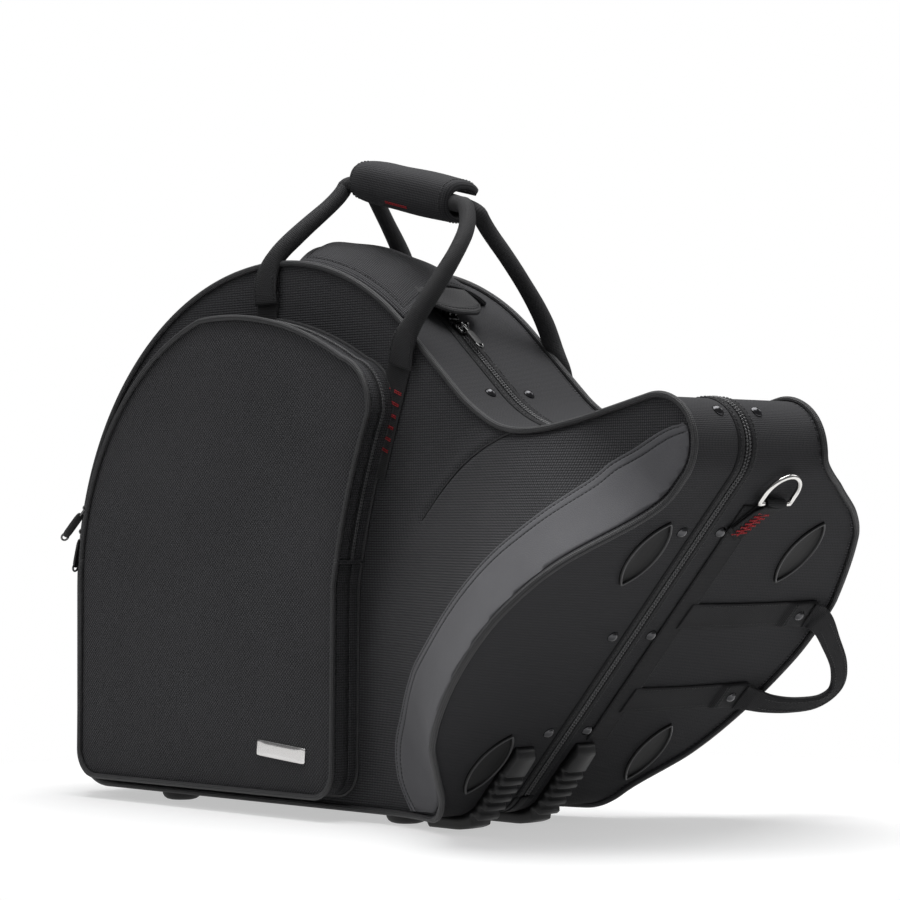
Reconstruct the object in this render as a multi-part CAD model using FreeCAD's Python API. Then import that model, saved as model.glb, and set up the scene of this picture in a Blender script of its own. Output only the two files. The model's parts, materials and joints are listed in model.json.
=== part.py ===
import FreeCAD, Part
import math
import os

V = FreeCAD.Vector

# Side outline of the case, from the floor up, in millimetres and degrees.
# X runs from the rounded end to the bell end, Y from front to back, Z up.
# The two halves meet at Y = 0, where the zip runs.
foot_h = 11.0
arch_r = 265.0
arch_x = -137.0
arch_up = 177.0
crest_r = 217.5
slope_tilt = 42.0
slope_len = 78.0
saddle_r = 128.0
rise_tilt = 13.0
rise_len = 86.0
nose_r = 34.0
face_lean = 41.5
heel_r = 32.0
corner_r = 38.0

# Depth of each half, and the flare that opens round the bell.
front_base = 58.0
front_full = 161.0
back_base = 82.0
back_full = 212.0
flare_len = 215.0
flare_power = 1.4
flare_dip = 6.0
rim_drop = 151.0
rim_half = 187.0
shell_t = 8.0
lining_t = 14.0
overrun = 40.0
clear = 0.3
hair = 0.15

# Counts: points along the curved surfaces and the beads.
flare_steps = 30
bead_points = 6
crest_steps = 20
pocket_steps = 24

# Shares: place along the slope of the end face, then how far the flare stands out there.
front_flare_shares = ((-2.2, 0.0), (-1.4, 0.03), (-0.94, 0.33), (-0.74, 0.6), (-0.57, 0.82),
                      (-0.29, 0.98), (0.0, 1.0), (0.2, 0.9), (0.375, 0.69), (0.61, 0.17),
                      (0.78, 0.02), (1.5, 0.0))
back_flare_shares = ((-2.2, 0.0), (-1.4, 0.03), (-0.96, 0.25), (-0.73, 0.63), (-0.48, 0.85),
                     (-0.2, 0.98), (0.0, 1.0), (0.15, 0.98), (0.5, 0.77), (0.63, 0.6),
                     (0.76, 0.33), (0.9, 0.07), (1.5, 0.0))
station_shares = (-0.08, 0.0, 0.1, 0.24, 0.42, 0.62, 0.82, 1.0)

# Zip, spine tape, piping, rivets and the trim of the end face.
zip_half = 4.0
tape_t = 2.0
coil_w = 1.8
coil_proud = 1.0
spine_top = 14.0
piping_r = 2.6
piping_gap = 0.8
rivet_r = 5.0
rivet_h = 3.0
rivet_off = 21.0
rivet_shares = (0.52, -0.03)
rivet_skid_gap = 6.0
rivet_saddle_lean = 14.0
rivet_nose_deg = 45.0
binding_w = 24.0
binding_t = 1.6
binding_top = 145.0
leaf_len = 62.0
leaf_w = 30.0
leaf_t = 4.0
leaf_dish = 1.6
leaf_border = 4.0
leaf_dish_in = 20.0
leaf_turn = 10.0
leaf_up = 77.0
leaf_down = -134.0
leaf_front = -46.0
leaf_front_low = -66.0
leaf_back = 127.0
leaf_back_low = 111.0
stripe_t = 0.8
stripe_w = 62.0
stripe_edge = 5.0

# Feet and the ribbed skids at the heel.
foot_r = 16.5
foot_round = 4.0
foot_left_in = 76.0
foot_right_in = 65.0
foot_front = 38.0
foot_back = 60.0
skid_w = 22.0
skid_front = 38.0
skid_back = 28.0
skid_rise = 62.0
skid_run = 34.0
skid_groove = 4.0
skid_grooves = 4
skid_land = 0.6

# Pocket on the front.
pocket_w = 366.0
pocket_h = 379.0
pocket_left = -366.0
pocket_low = 20.0
pocket_depth = 28.0
pocket_spread = 28.0
pocket_wall = 3.0
pocket_panel = 4.0
pocket_seam = 12.0
pocket_zip = 2.0
pocket_fold_z = 205.0
pocket_piping_r = 2.2
plate_w = 58.0
plate_h = 13.0
plate_t = 1.2
plate_x_share = 0.721
plate_z_share = 0.087
plate_turn = 4.5

# Shares of the pocket's width and height, with the outward direction in degrees.
pocket_shares = ((0.055, 0.0, -90), (0.016, 0.016, -135), (0.0, 0.053, 180), (0.005, 0.396, 180),
                 (0.098, 0.74, 150), (0.44, 0.997, 97), (0.686, 0.984, 80), (0.913, 0.902, 60),
                 (0.976, 0.86, 35), (0.995, 0.79, 0), (0.93, 0.62, -15), (0.885, 0.435, -5),
                 (0.88, 0.058, 0), (0.863, 0.016, -45), (0.825, 0.0, -90))

# Carrying handles: round webbing legs, each on two flat straps.
tube_r = 7.5
strap_w = 25.0
strap_t = 2.4
strap_len = 62.0
leg_bow = 4.0
front_left_x = -130.0
front_left_drop = 33.0
front_right_x = 14.0
front_right_drop = 28.0
back_left_x = -136.0
back_left_drop = 39.0
back_right_x = 38.0
back_right_drop = 23.5
grip_left_x = -117.5
grip_left_up = 73.0
grip_right_x = 12.5
grip_right_up = 42.0
grip_y = 8.0
tube_pitch = 18.0
wrap_len = 116.0
wrap_w = 41.0
wrap_h = 33.0
wrap_round = 11.0
wrap_slot = 1.2
wrap_splay = 40.0
right_strap_turn = 16.0

# Shares of the tube's radius: the bends of each handle, from its left foot to its right one.
front_left_leg_shares = ((1.0, 0.0, 1.5),)
front_left_bend_shares = ((-1.6, -3.6, -2.0), (0.0, 0.0, 0.0))
front_right_bend_shares = ((0.0, 0.0, 0.0), (3.4, -1.0, -1.0), (4.8, -3.9, -4.0))
front_right_leg_shares = ((4.8, 1.6, 7.8), (1.4, 0.0, 3.2))
back_left_leg_shares = ((0.8, 0.0, 1.5),)
back_left_bend_shares = ((-1.0, 5.6, -3.0), (0.0, 0.0, 0.0))
back_right_bend_shares = ((0.0, 0.0, 0.0), (0.8, 3.8, -2.0), (1.9, 8.4, -8.0))
back_right_leg_shares = ((-0.3, 0.4, 5.6),)

# Flap over the zip at the crest, and its tongue.
flap_from = -3.5
flap_to = 32.0
flap_front = 50.0
flap_back = 62.0
flap_crown = 19.0
flap_edge = 3.0
flap_tunnel = 9.0
flap_tunnel_h = 11.5
flap_tunnel_from = 10.0
tongue_front = -26.0
tongue_back = 30.0
tongue_len = 34.0
tongue_t = 3.0
tongue_up = 15.0

# Shares: place along the flap, then how much of its crown it has there.
flap_crown_shares = ((0.0, 0.4), (0.2, 0.85), (0.5, 1.0), (0.8, 0.95), (1.0, 0.8))

# Zip sliders and their pulls.
slider_w = 10.0
slider_len = 12.0
slider_h = 4.0
slider_left_deg = 38.3
slider_right_step = 3.0
pull_len = 20.0
pull_w = 7.0
pull_t = 2.0
ear_w = 3.0
ear_len = 4.8
ear_h = 3.6
ear_at = 3.5
pull_step = 7.2
pocket_slider_z = 246.0
pocket_slider_gap = 20.0
pocket_pull_len = 30.0
pocket_pull_upper_deg = 24.0
pocket_pull_lower_deg = 3.0

# Webbing loop handle and ring on the end face.
loop_up = 14.0
loop_down = -73.0
loop_up_y = 184.0
loop_down_y = 170.0
loop_band = 14.0
loop_t = 5.0
loop_reach = 34.0
fold_len = 30.0
ring_bar = 34.0
ring_wire = 2.0
ring_reach = 9.0
ring_s = 130.0
ring_y = 51.0
tab_len = 34.0
tab_w = 25.0
tab_wall = 1.8

# Padding and fittings inside.
block_w = 46.0
block_len = 120.0
block_low = 52.0
block_x = -215.0
block_notch_r = 34.0
throat_in = 4.0
throat_low = 150.0
throat_w = 40.0
throat_len = 110.0
throat_notch_r = 38.0
cuff_w = 38.0
cuff_t = 2.5
holder_r = 19.0
holder_bore = 13.5
holder_h = 30.0
holder_x = -250.0
holder_z = 300.0
lid_pad_w = 240.0
lid_pad_h = 90.0
lid_pad_t = 16.0
lid_pad_x = -165.0
lid_pad_z = 150.0


binding_in = rivet_off + rivet_r + clear
coil_top = coil_proud + clear
inner = shell_t + lining_t


def polar(deg, length):
    return V(math.cos(math.radians(deg)) * length, 0, math.sin(math.radians(deg)) * length)


def across(y):
    return V(0, y, 0)


# Centres and joints of the side outline, each from the one before it.
arch_c = V(arch_x, 0, arch_up)
crest_c = arch_c + V(0, 0, arch_r - crest_r)
slope_top = crest_c + polar(90 - slope_tilt, crest_r)
slope_end = slope_top + polar(-slope_tilt, slope_len)
saddle_c = slope_end + polar(90 - slope_tilt, saddle_r)
rise_start = saddle_c + polar(270 + rise_tilt, saddle_r)
rise_end = rise_start + polar(rise_tilt, rise_len)
nose_c = rise_end + polar(rise_tilt - 90, nose_r)
nose_end = nose_c + polar(-face_lean, nose_r)
face_out = polar(-face_lean, 1)
face_up = polar(90 - face_lean, 1)
rim_mid = nose_end - face_up * rim_drop
heel_drop = (nose_c + polar(-face_lean, nose_r - heel_r)).z - foot_h - heel_r
heel_c = nose_c + polar(-face_lean, nose_r - heel_r) - face_up * (heel_drop / math.cos(math.radians(face_lean)))
corner_c = V(arch_x - arch_r + corner_r, 0, foot_h + corner_r)


def skid_top():
    """Place of the skids' upper end, up the slope of the end face."""
    return (heel_c + polar(-face_lean, heel_r) - rim_mid).dot(face_up) + skid_rise


def on_face(s, y, n):
    """Point on the slanted end face: s up the slope, y across, n outward."""
    return rim_mid + face_up * s + across(y) + face_out * n


def arc(centre, r, a0, a1):
    mid = centre + polar((a0 + a1) / 2, r)
    return Part.Arc(centre + polar(a0, r), mid, centre + polar(a1, r)).toShape()


def line(a, b):
    return Part.LineSegment(a, b).toShape()


def outline_edges(outset):
    """The side outline moved outward by outset, clockwise from the left side."""
    slope_out = polar(90 - slope_tilt, outset)
    rise_out = polar(90 + rise_tilt, outset)
    face_off = face_out * outset
    heel_top = heel_c + polar(-face_lean, heel_r + outset)
    heel_low = heel_c + V(0, 0, -heel_r - outset)
    corner_low = corner_c + V(0, 0, -corner_r - outset)
    corner_side = corner_c + V(-corner_r - outset, 0, 0)
    return [arc(arch_c, arch_r + outset, 180, 90),
            arc(crest_c, crest_r + outset, 90, 90 - slope_tilt),
            line(slope_top + slope_out, slope_end + slope_out),
            arc(saddle_c, saddle_r - outset, 270 - slope_tilt, 270 + rise_tilt),
            line(rise_start + rise_out, rise_end + rise_out),
            arc(nose_c, nose_r + outset, 90 + rise_tilt, -face_lean),
            line(nose_end + face_off, heel_top),
            arc(heel_c, heel_r + outset, -face_lean, -90),
            line(heel_low, corner_low),
            arc(corner_c, corner_r + outset, -90, -180),
            line(corner_side, arch_c + V(-arch_r - outset, 0, 0))]


def prism(outset, y0, y1):
    face = Part.Face(Part.Wire(outline_edges(outset)))
    face.translate(across(y0))
    return face.extrude(across(y1 - y0))


def box_between(x0, x1, y0, y1, z0, z1):
    low = V(min(x0, x1), min(y0, y1), min(z0, z1))
    return Part.makeBox(abs(x1 - x0), abs(y1 - y0), abs(z1 - z0), low)


def eased(table, x):
    """Smooth curve through a table of pairs: a cubic between each two, level at both ends."""
    if x <= table[0][0]:
        return table[0][1]
    for i in range(len(table) - 1):
        x0, y0 = table[i]
        x1, y1 = table[i + 1]
        if x <= x1:
            m0 = (y1 - table[i - 1][1]) / (x1 - table[i - 1][0]) if i else 0.0
            m1 = (table[i + 2][1] - y0) / (table[i + 2][0] - x0) if i + 2 < len(table) else 0.0
            t = (x - x0) / (x1 - x0)
            a = (2 * t ** 3 - 3 * t ** 2 + 1) * y0 + (t ** 3 - 2 * t ** 2 + t) * (x1 - x0) * m0
            return a + (3 * t ** 2 - 2 * t ** 3) * y1 + (t ** 3 - t ** 2) * (x1 - x0) * m1
    return table[-1][1]


class Side:
    """One half of the case: its direction along Y, its depths and its flare table."""

    def __init__(self, sign, base, full, shares):
        self.sign = sign
        self.base = base
        self.full = full
        self.shares = shares

    def flare(self, s, d, inset):
        """Depth of the flare at s along the slope and d in from the end face."""
        fade = (1 - max(0.0, d / flare_len)) ** flare_power
        low = self.base - flare_dip
        return low - inset + eased(self.shares, s / rim_half) * (self.full - low) * fade

    def depth(self, s, d):
        return max(self.base, self.flare(s, min(d, flare_len), 0.0))

    def slab(self, outset, near, far):
        return prism(outset, self.sign * near, self.sign * far)


front = Side(-1, front_base, front_full, front_flare_shares)
back = Side(1, back_base, back_full, back_flare_shares)


def flare_loft(side, inset):
    """Solid under the flare: cross sections parallel to the end face, lofted along the bell."""
    first, last = side.shares[0][0] * rim_half, side.shares[-1][0] * rim_half
    wires = []
    for share in station_shares:
        d = share * flare_len
        points = []
        for i in range(flare_steps + 1):
            s = first + (last - first) * i / flare_steps
            points.append(on_face(s, side.sign * side.flare(s, d, inset), -d))
        curve = Part.BSplineCurve()
        curve.interpolate(points)
        low = on_face(first, 0, -d)
        high = on_face(last, 0, -d)
        wires.append(Part.Wire([curve.toShape(), line(points[-1], high), line(high, low), line(low, points[0])]))
    return Part.makeLoft(wires, True, False)


def half_solid(side, inset, near):
    """The half as a full solid, inset from the outer surface and open at Y = near."""
    slab = side.slab(-inset, near, side.base - inset)
    trim = side.slab(-inset, near, side.full + overrun)
    return slab.fuse(flare_loft(side, inset).common(trim)).removeSplitter()


def make_half(side):
    """Outer shell and padded lining of one half."""
    outer = half_solid(side, 0.0, zip_half)
    bed = half_solid(side, shell_t, hair)
    hollow = half_solid(side, shell_t + lining_t, 0.0)
    return outer.cut(bed), bed.cut(hollow)


def ring_band(side, near, far, proud):
    """Band of the outline, as thick as the tape, that stands proud by the last value."""
    return side.slab(proud, near, far).cut(side.slab(-tape_t, near, far))


def above_spine(shape):
    cutter = box_between(arch_x - 2 * arch_r, arch_x + 3 * arch_r, -overrun, overrun, foot_h - overrun,
                         foot_h + spine_top)
    return shape.cut(cutter)


def below_spine(shape):
    keeper = box_between(arch_x - 2 * arch_r, arch_x + 3 * arch_r, -overrun, overrun, foot_h - overrun,
                         foot_h + spine_top)
    return shape.common(keeper)


def zip_tape(side):
    """Half of the zip: woven tape beside the shell, then the coil that stands proud."""
    tape = above_spine(ring_band(side, hair + coil_w, zip_half, 0.0))
    coil = above_spine(ring_band(side, hair, hair + coil_w, coil_proud))
    return Part.makeCompound([tape, coil])


def spine_tape(side):
    return below_spine(ring_band(side, hair, zip_half, 0.0))


def bead(points, r):
    """Tube of radius r through a list of points: circles lofted straight from one to the next."""
    wires = []
    for i, p in enumerate(points):
        ahead = (points[min(i + 1, len(points) - 1)] - points[max(i - 1, 0)]).normalize()
        aside = V(0, 1, 0).cross(ahead).normalize()
        above = ahead.cross(aside)
        spokes = []
        for k in range(bead_points + 1):
            turn = 2 * math.pi * k / bead_points
            spokes.append(p + aside * (r * math.cos(turn)) + above * (r * math.sin(turn)))
        wires.append(Part.Wire([Part.Arc(spokes[k], spokes[k + 1], spokes[k + 2]).toShape() for k in range(0, bead_points, 2)]))
    return Part.makeLoft(wires, True, True)


def outline_walk(outset, step):
    """Points along the side outline, about one step apart, with the corner of the heel last."""
    points = []
    for edge in outline_edges(outset):
        count = max(1, int(round(edge.Length / step)))
        ordered = edge.discretize(count + 1)
        points.extend(ordered[:-1])
    return points


def piping(side):
    """Corded edge between the side panel and the band, all round the half."""
    off = (piping_r + piping_gap) * math.sqrt(0.5)
    step = crest_r / crest_steps
    route = []
    for p in outline_walk(off, step):
        rel = p - rim_mid
        depth = side.depth(rel.dot(face_up), -rel.dot(face_out))
        route.append(p + across(side.sign * (depth + off)))
    route.append(route[0])
    half = len(route) // 2
    return Part.makeCompound([bead(route[:half + 1], piping_r), bead(route[half:], piping_r)])


def dome(point, out):
    """Rivet head: a cap of a ball on a flat seat."""
    ball = (rivet_r ** 2 + rivet_h ** 2) / (2 * rivet_h)
    start = math.degrees(math.asin((ball - rivet_h) / ball))
    centre = point - out * (ball - rivet_h) + out * hair
    return Part.makeSphere(ball, centre, out, start, 90, 360)


def rivets(side):
    """Rivets beside the zip: on the slope, in the saddle, on the nose and down the end face."""
    y = side.sign * rivet_off
    slope_out = polar(90 - slope_tilt, 1)
    saddle_dir = polar(270 - rivet_saddle_lean, 1)
    nose_dir = polar(rivet_nose_deg, 1)
    heads = [dome(slope_end + across(y), slope_out),
             dome(saddle_c + saddle_dir * saddle_r + across(y), saddle_dir * -1),
             dome(nose_c + nose_dir * nose_r + across(y), nose_dir)]
    low = skid_top() + rivet_skid_gap + rivet_r
    for s in [share * rim_half for share in rivet_shares] + [low]:
        heads.append(dome(on_face(s, y, 0), face_out))
    return Part.makeCompound(heads)


def leaf(s, y, length, width, low, high):
    """Pointed oval between two arcs, on the end face, from one height to another."""
    turn = math.radians(leaf_turn)
    along = face_up * math.cos(turn) + V(0, 1, 0) * math.sin(turn)
    aside = V(0, 1, 0) * math.cos(turn) - face_up * math.sin(turn)
    mid = on_face(s, y, low)
    tip = mid + along * (length / 2)
    tail = mid - along * (length / 2)
    near = Part.Arc(tip, mid + aside * (width / 2), tail).toShape()
    far = Part.Arc(tail, mid - aside * (width / 2), tip).toShape()
    return Part.Face(Part.Wire([near, far])).extrude(face_out * (high - low))


def bumper(s, y):
    """Moulded leaf-shaped bumper with a raised border and a dished middle."""
    dish = leaf(s, y, leaf_len - leaf_dish_in, leaf_w - 2 * leaf_border, leaf_t - leaf_dish, leaf_t + leaf_dish)
    return leaf(s, y, leaf_len, leaf_w, 0.0, leaf_t).cut(dish)


foot_left = corner_c.x + foot_left_in
foot_right = heel_c.x - foot_right_in


def foot(x, y):
    body = Part.makeCylinder(foot_r, foot_h, V(x, y, 0))
    rim = [e for e in body.Edges if abs(e.BoundBox.ZMax) < hair]
    return body.makeFillet(foot_round, rim)


def skid(y):
    """Ribbed runner that wraps from the end face round the heel to the underside."""
    wrap = prism(foot_h, y - skid_w / 2, y + skid_w / 2).cut(prism(0.0, y - skid_w, y + skid_w))
    low = heel_c + V(-skid_run, 0, -heel_r - foot_h)
    keep = box_between(low.x, low.x + 4 * rim_half, y - skid_w, y + skid_w, low.z - overrun, low.z + rim_half)
    top = heel_c + polar(-face_lean, heel_r) + face_up * skid_rise
    over = Part.makeBox(4 * rim_half, 4 * rim_half, 4 * rim_half, V(0, 0, 0))
    over.Placement = FreeCAD.Placement(top + across(-2 * rim_half) - face_out * 2 * rim_half,
                                       FreeCAD.Rotation(V(0, 1, 0), face_lean))
    shape = wrap.common(keep).cut(over)
    for i in range(skid_grooves):
        at = heel_c + polar(-face_lean, heel_r + foot_h) + face_up * (skid_rise * (i + skid_land) / (skid_grooves + skid_land))
        groove = Part.makeCylinder(skid_groove / 2, 2 * skid_w, at + across(-skid_w + y), V(0, 1, 0))
        shape = shape.cut(groove)
    return shape


def pocket_points(outset, spread, y):
    """Points of the pocket's outline at a depth y: moved outward, and spread towards the rounded end."""
    points = []
    for x_share, z_share, deg in pocket_shares:
        out = polar(deg, 1)
        x = pocket_left + pocket_w * x_share + out.x * outset + min(0.0, out.x) * spread
        points.append(V(x, y, pocket_low + pocket_h * z_share + out.z * outset))
    return points


def pocket_wire(outset, spread, y):
    points = pocket_points(outset, spread, y)
    edges = [Part.Arc(points[0], points[1], points[2]).toShape(), line(points[2], points[3])]
    for i in (3, 5, 7, 9):
        edges.append(Part.Arc(points[i], points[i + 1], points[i + 2]).toShape())
    edges.append(line(points[11], points[12]))
    edges.append(Part.Arc(points[12], points[13], points[14]).toShape())
    edges.append(line(points[14], points[0]))
    return Part.Wire(edges)


def pocket_body(outset):
    """The pocket as a full solid, from the side panel out to its front."""
    wide = pocket_wire(outset, pocket_spread, -front_base)
    slim = pocket_wire(outset, 0.0, -front_base - pocket_depth)
    return Part.makeLoft([wide, slim], True, True)


def pocket_band(d0, d1, z0, z1):
    """Slice of the pocket between two depths and two heights."""
    return box_between(pocket_left - pocket_w, pocket_left + 2 * pocket_w, -front_base - d0, -front_base - d1, z0, z1)


pocket_full = pocket_body(0.0)
pocket_hollow = pocket_body(-pocket_wall)
pocket_ring = pocket_full.cut(pocket_hollow)
pocket_roof = pocket_full.common(pocket_band(pocket_depth - pocket_panel, pocket_depth, 0, 2 * pocket_h))
pocket_case = pocket_ring.fuse(pocket_roof).removeSplitter()
pocket_top = pocket_low + pocket_h + overrun


def pocket_gusset():
    upper = pocket_ring.common(pocket_band(0, pocket_seam - pocket_zip, pocket_fold_z, pocket_top))
    lower = pocket_ring.common(pocket_band(0, pocket_seam, 0, pocket_fold_z))
    return upper.fuse(lower).removeSplitter()


def pocket_lower():
    return pocket_case.common(pocket_band(pocket_seam, pocket_depth, 0, pocket_fold_z - hair))


def pocket_flap():
    return pocket_case.common(pocket_band(pocket_seam + pocket_zip + hair, pocket_depth, pocket_fold_z + hair, pocket_top))


def pocket_zip_fixed():
    return pocket_ring.common(pocket_band(pocket_seam - pocket_zip, pocket_seam - hair, pocket_fold_z, pocket_top))


def pocket_zip_moving():
    start = pocket_seam + hair
    return pocket_ring.common(pocket_band(start, start + pocket_zip, pocket_fold_z + hair, pocket_top))


def pocket_piping(z0, z1):
    """Cord round the pocket's front edge, cut to the heights z0 to z1."""
    off = (pocket_piping_r + piping_gap) * math.sqrt(0.5)
    wire = pocket_wire(off, 0.0, -front_base - pocket_depth - off)
    points = []
    for edge in wire.OrderedEdges:
        count = max(1, int(round(edge.Length / (pocket_w / pocket_steps))))
        points.extend(edge.discretize(count + 1)[:-1])
    points.append(points[0])
    half = len(points) // 2
    keep = pocket_band(pocket_depth, pocket_depth + overrun, z0, z1)
    return Part.makeCompound([bead(points[:half + 1], pocket_piping_r).common(keep),
                              bead(points[half:], pocket_piping_r).common(keep)])


pocket_hinge_y = (-front_base - pocket_depth - (pocket_piping_r + piping_gap) * math.sqrt(0.5)
                  - pocket_piping_r)


def plate():
    flat = Part.makeBox(plate_w, plate_t, plate_h, V(-plate_w / 2, -plate_t, -plate_h / 2))
    corners = [e for e in flat.Edges if abs(e.BoundBox.YLength - plate_t) < hair]
    flat = flat.makeFillet(plate_t, corners)
    x = pocket_left + pocket_w * plate_x_share
    z = pocket_low + pocket_h * plate_z_share
    flat.Placement = FreeCAD.Placement(V(x, -front_base - pocket_depth, z),
                                       FreeCAD.Rotation(V(0, 1, 0), plate_turn))
    return flat


def tube(points, r):
    """Round webbing through a few points: straight runs with a ball at each turn."""
    parts = [Part.makeSphere(r, points[0])]
    for a, b in zip(points, points[1:]):
        parts.append(Part.makeCylinder(r, (b - a).Length, a, b - a))
        parts.append(Part.makeSphere(r, b))
    return parts[0].multiFuse(parts[1:]).removeSplitter()


crest_top = crest_c.z + crest_r
grip_left = V(grip_left_x, grip_y, crest_top + grip_left_up)
grip_right = V(grip_right_x, grip_y, crest_top + grip_right_up)
grip_dir = (grip_right - grip_left).normalize()
grip_len = (grip_right - grip_left).Length
pivot_gap = strap_t + clear + tube_r
front_pivot_y = -front_base - pivot_gap
back_pivot_y = back_base + pivot_gap


def crest_at(x):
    """Height of the top outline over the crest and the slope at a given x."""
    if x <= slope_top.x:
        return crest_c.z + math.sqrt(crest_r ** 2 - (x - crest_c.x) ** 2)
    return slope_top.z - (x - slope_top.x) * math.tan(math.radians(slope_tilt))


front_left_z = crest_at(front_left_x) - front_left_drop
front_right_z = crest_at(front_right_x) - front_right_drop
back_left_z = crest_at(back_left_x) - back_left_drop
back_right_z = crest_at(back_right_x) - back_right_drop


def bent(start, shares):
    """Points round a start, each moved by shares of the tube's radius."""
    return [start + V(x, y, z) * tube_r for x, y, z in shares]


def front_handle_points():
    y = front_pivot_y
    lane = across(-tube_pitch / 2)
    left = V(front_left_x, y - leg_bow, crest_at(front_left_x))
    right = V(front_right_x, y - leg_bow, front_right_z)
    points = [V(front_left_x, y, front_left_z)] + bent(left, front_left_leg_shares)
    points += bent(grip_left + lane, front_left_bend_shares) + bent(grip_right + lane, front_right_bend_shares)
    return points + bent(right, front_right_leg_shares) + [V(front_right_x, y, front_right_z)]


def back_handle_points():
    y = back_pivot_y
    lane = across(tube_pitch / 2)
    left = V(back_left_x, y + leg_bow, crest_at(back_left_x))
    right = V(back_right_x, y + leg_bow, back_right_z)
    points = [V(back_left_x, y, back_left_z)] + bent(left, back_left_leg_shares)
    points += bent(grip_left + lane, back_left_bend_shares) + bent(grip_right + lane, back_right_bend_shares)
    return points + bent(right, back_right_leg_shares) + [V(back_right_x, y, back_right_z)]


def grip_wrap():
    """Padded wrap round both handles, open at the back so that the back handle can leave it."""
    half = wrap_len / 2
    block = Part.makeBox(wrap_len, wrap_w, wrap_h, V(-half, -wrap_w / 2, -wrap_h / 2))
    block = block.makeFillet(wrap_round, [e for e in block.Edges if abs(e.BoundBox.XLength - wrap_len) < hair])
    lane = tube_pitch / 2
    near = Part.makeCylinder(tube_r + hair, wrap_len + overrun, V(-half - overrun / 2, -lane, 0), V(1, 0, 0))
    far_r = tube_r + wrap_slot
    far = Part.makeCylinder(far_r, wrap_len + overrun, V(-half - overrun / 2, lane, 0), V(1, 0, 0))
    reach = wrap_w
    rise = far_r + reach * math.tan(math.radians(wrap_splay))
    x0 = -half - overrun / 2
    corners = [V(x0, lane, -far_r), V(x0, lane + reach, -rise), V(x0, lane + reach, rise), V(x0, lane, far_r)]
    wedge = Part.Face(Part.makePolygon(corners + corners[:1])).extrude(V(wrap_len + overrun, 0, 0))
    shape = block.cut(near).cut(far).cut(wedge)
    middle = (grip_left + grip_right) * 0.5
    tilt = math.degrees(math.atan2(grip_left.z - grip_right.z, grip_right.x - grip_left.x))
    shape.Placement = FreeCAD.Placement(middle, FreeCAD.Rotation(V(0, 1, 0), tilt))
    return shape


def strap(x, z, base, sign, turn):
    """Flat webbing on a side panel, running down from the foot of a handle leg."""
    piece = Part.makeBox(strap_w, strap_t, strap_len + tube_r, V(-strap_w / 2, 0, -strap_len))
    piece.rotate(V(0, 0, 0), V(0, 1, 0), turn)
    y = base if sign > 0 else -base - strap_t
    piece.translate(V(x, y, z))
    return piece


def front_straps():
    pair = [strap(front_left_x, front_left_z, front_base, -1, 0),
            strap(front_right_x, front_right_z, front_base, -1, right_strap_turn)]
    return Part.makeCompound([p.cut(pocket_full) for p in pair])


def back_straps():
    return Part.makeCompound([strap(back_left_x, back_left_z, back_base, 1, 0),
                              strap(back_right_x, back_right_z, back_base, 1, 0)])


def flap_section(deg, crown):
    """Cross section of the flap square to the crest: flat below, crowned above."""
    out = polar(90 - deg, 1)
    seat = crest_c + out * (crest_r + clear)
    a = seat + across(-flap_front)
    b = seat + across(flap_back)
    top = seat + across((flap_back - flap_front) / 2) + out * crown
    a_up = a + out * flap_edge
    b_up = b + out * flap_edge
    return Part.Wire([line(b, a), line(a, a_up), Part.Arc(a_up, top, b_up).toShape(), line(b_up, b)])


def top_flap():
    """Padded flap over the zip at the crest, with a tunnel below it for the sliders."""
    wires = [flap_section(flap_from + (flap_to - flap_from) * t, flap_crown * k) for t, k in flap_crown_shares]
    pad = Part.makeLoft(wires, True, False)
    start = crest_c + polar(90 - flap_tunnel_from, crest_r)
    keep = box_between(start.x, start.x + 2 * crest_r, -flap_tunnel, flap_tunnel, crest_c.z, crest_c.z + 2 * crest_r)
    tunnel = prism(flap_tunnel_h, -flap_tunnel, flap_tunnel).common(keep)
    coil_side = hair + coil_w + clear
    return pad.cut(tunnel).cut(prism(coil_top, -coil_side, coil_side))


def tongue_frame():
    """Seat of the tongue's hinge at the right end of the flap, and the way it runs."""
    out = polar(90 - flap_to, 1)
    along = polar(-flap_to, 1)
    return crest_c + out * (crest_r + tongue_up - tongue_t / 2) + along * (tongue_t / 2 + clear), along, out


def flap_tongue():
    """Tongue that holds the sliders down: a flat tab on a rolled edge, rounded at its end."""
    root, along, out = tongue_frame()
    roll = Part.makeCylinder(tongue_t / 2, tongue_back - tongue_front, root + across(tongue_front), V(0, 1, 0))
    corner = root + across(tongue_front) - out * (tongue_t / 2)
    mid = (tongue_back - tongue_front) / 2
    a = corner
    b = corner + along * (tongue_len - mid / 2)
    c = b + across(mid) + along * (mid / 2)
    d = b + across(2 * mid)
    e = a + across(2 * mid)
    face = Part.Face(Part.Wire([line(a, b), Part.Arc(b, c, d).toShape(), line(d, e), line(e, a)]))
    return face.extrude(out * tongue_t).fuse(roll).removeSplitter()


def block_at(at, along, out, width_dir, size, low):
    """Box of a given length, width and height over a point, raised by low."""
    length, width, height = size
    a = at - along * (length / 2) - width_dir * (width / 2) + out * low
    b = a + along * length
    base = Part.makePolygon([a, b, b + width_dir * width, a + width_dir * width, a])
    return Part.Face(base).extrude(out * height)


def slider(at, along, out, width_dir, low):
    """Zip slider: a body over the coil with two ears that carry the pull."""
    body = block_at(at, along, out, width_dir, (slider_len, slider_w, slider_h), low)
    ear = block_at(at, along, out, width_dir, (ear_len, ear_w, ear_h), low + slider_h)
    return body.fuse([ear.translated(width_dir * k * ear_at) for k in (-1, 1)]).removeSplitter()


def pull_eye(at, out, low):
    """Centre of the pull's eye, between the slider's ears."""
    return at + out * (low + slider_h + ear_h / 2)


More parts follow.
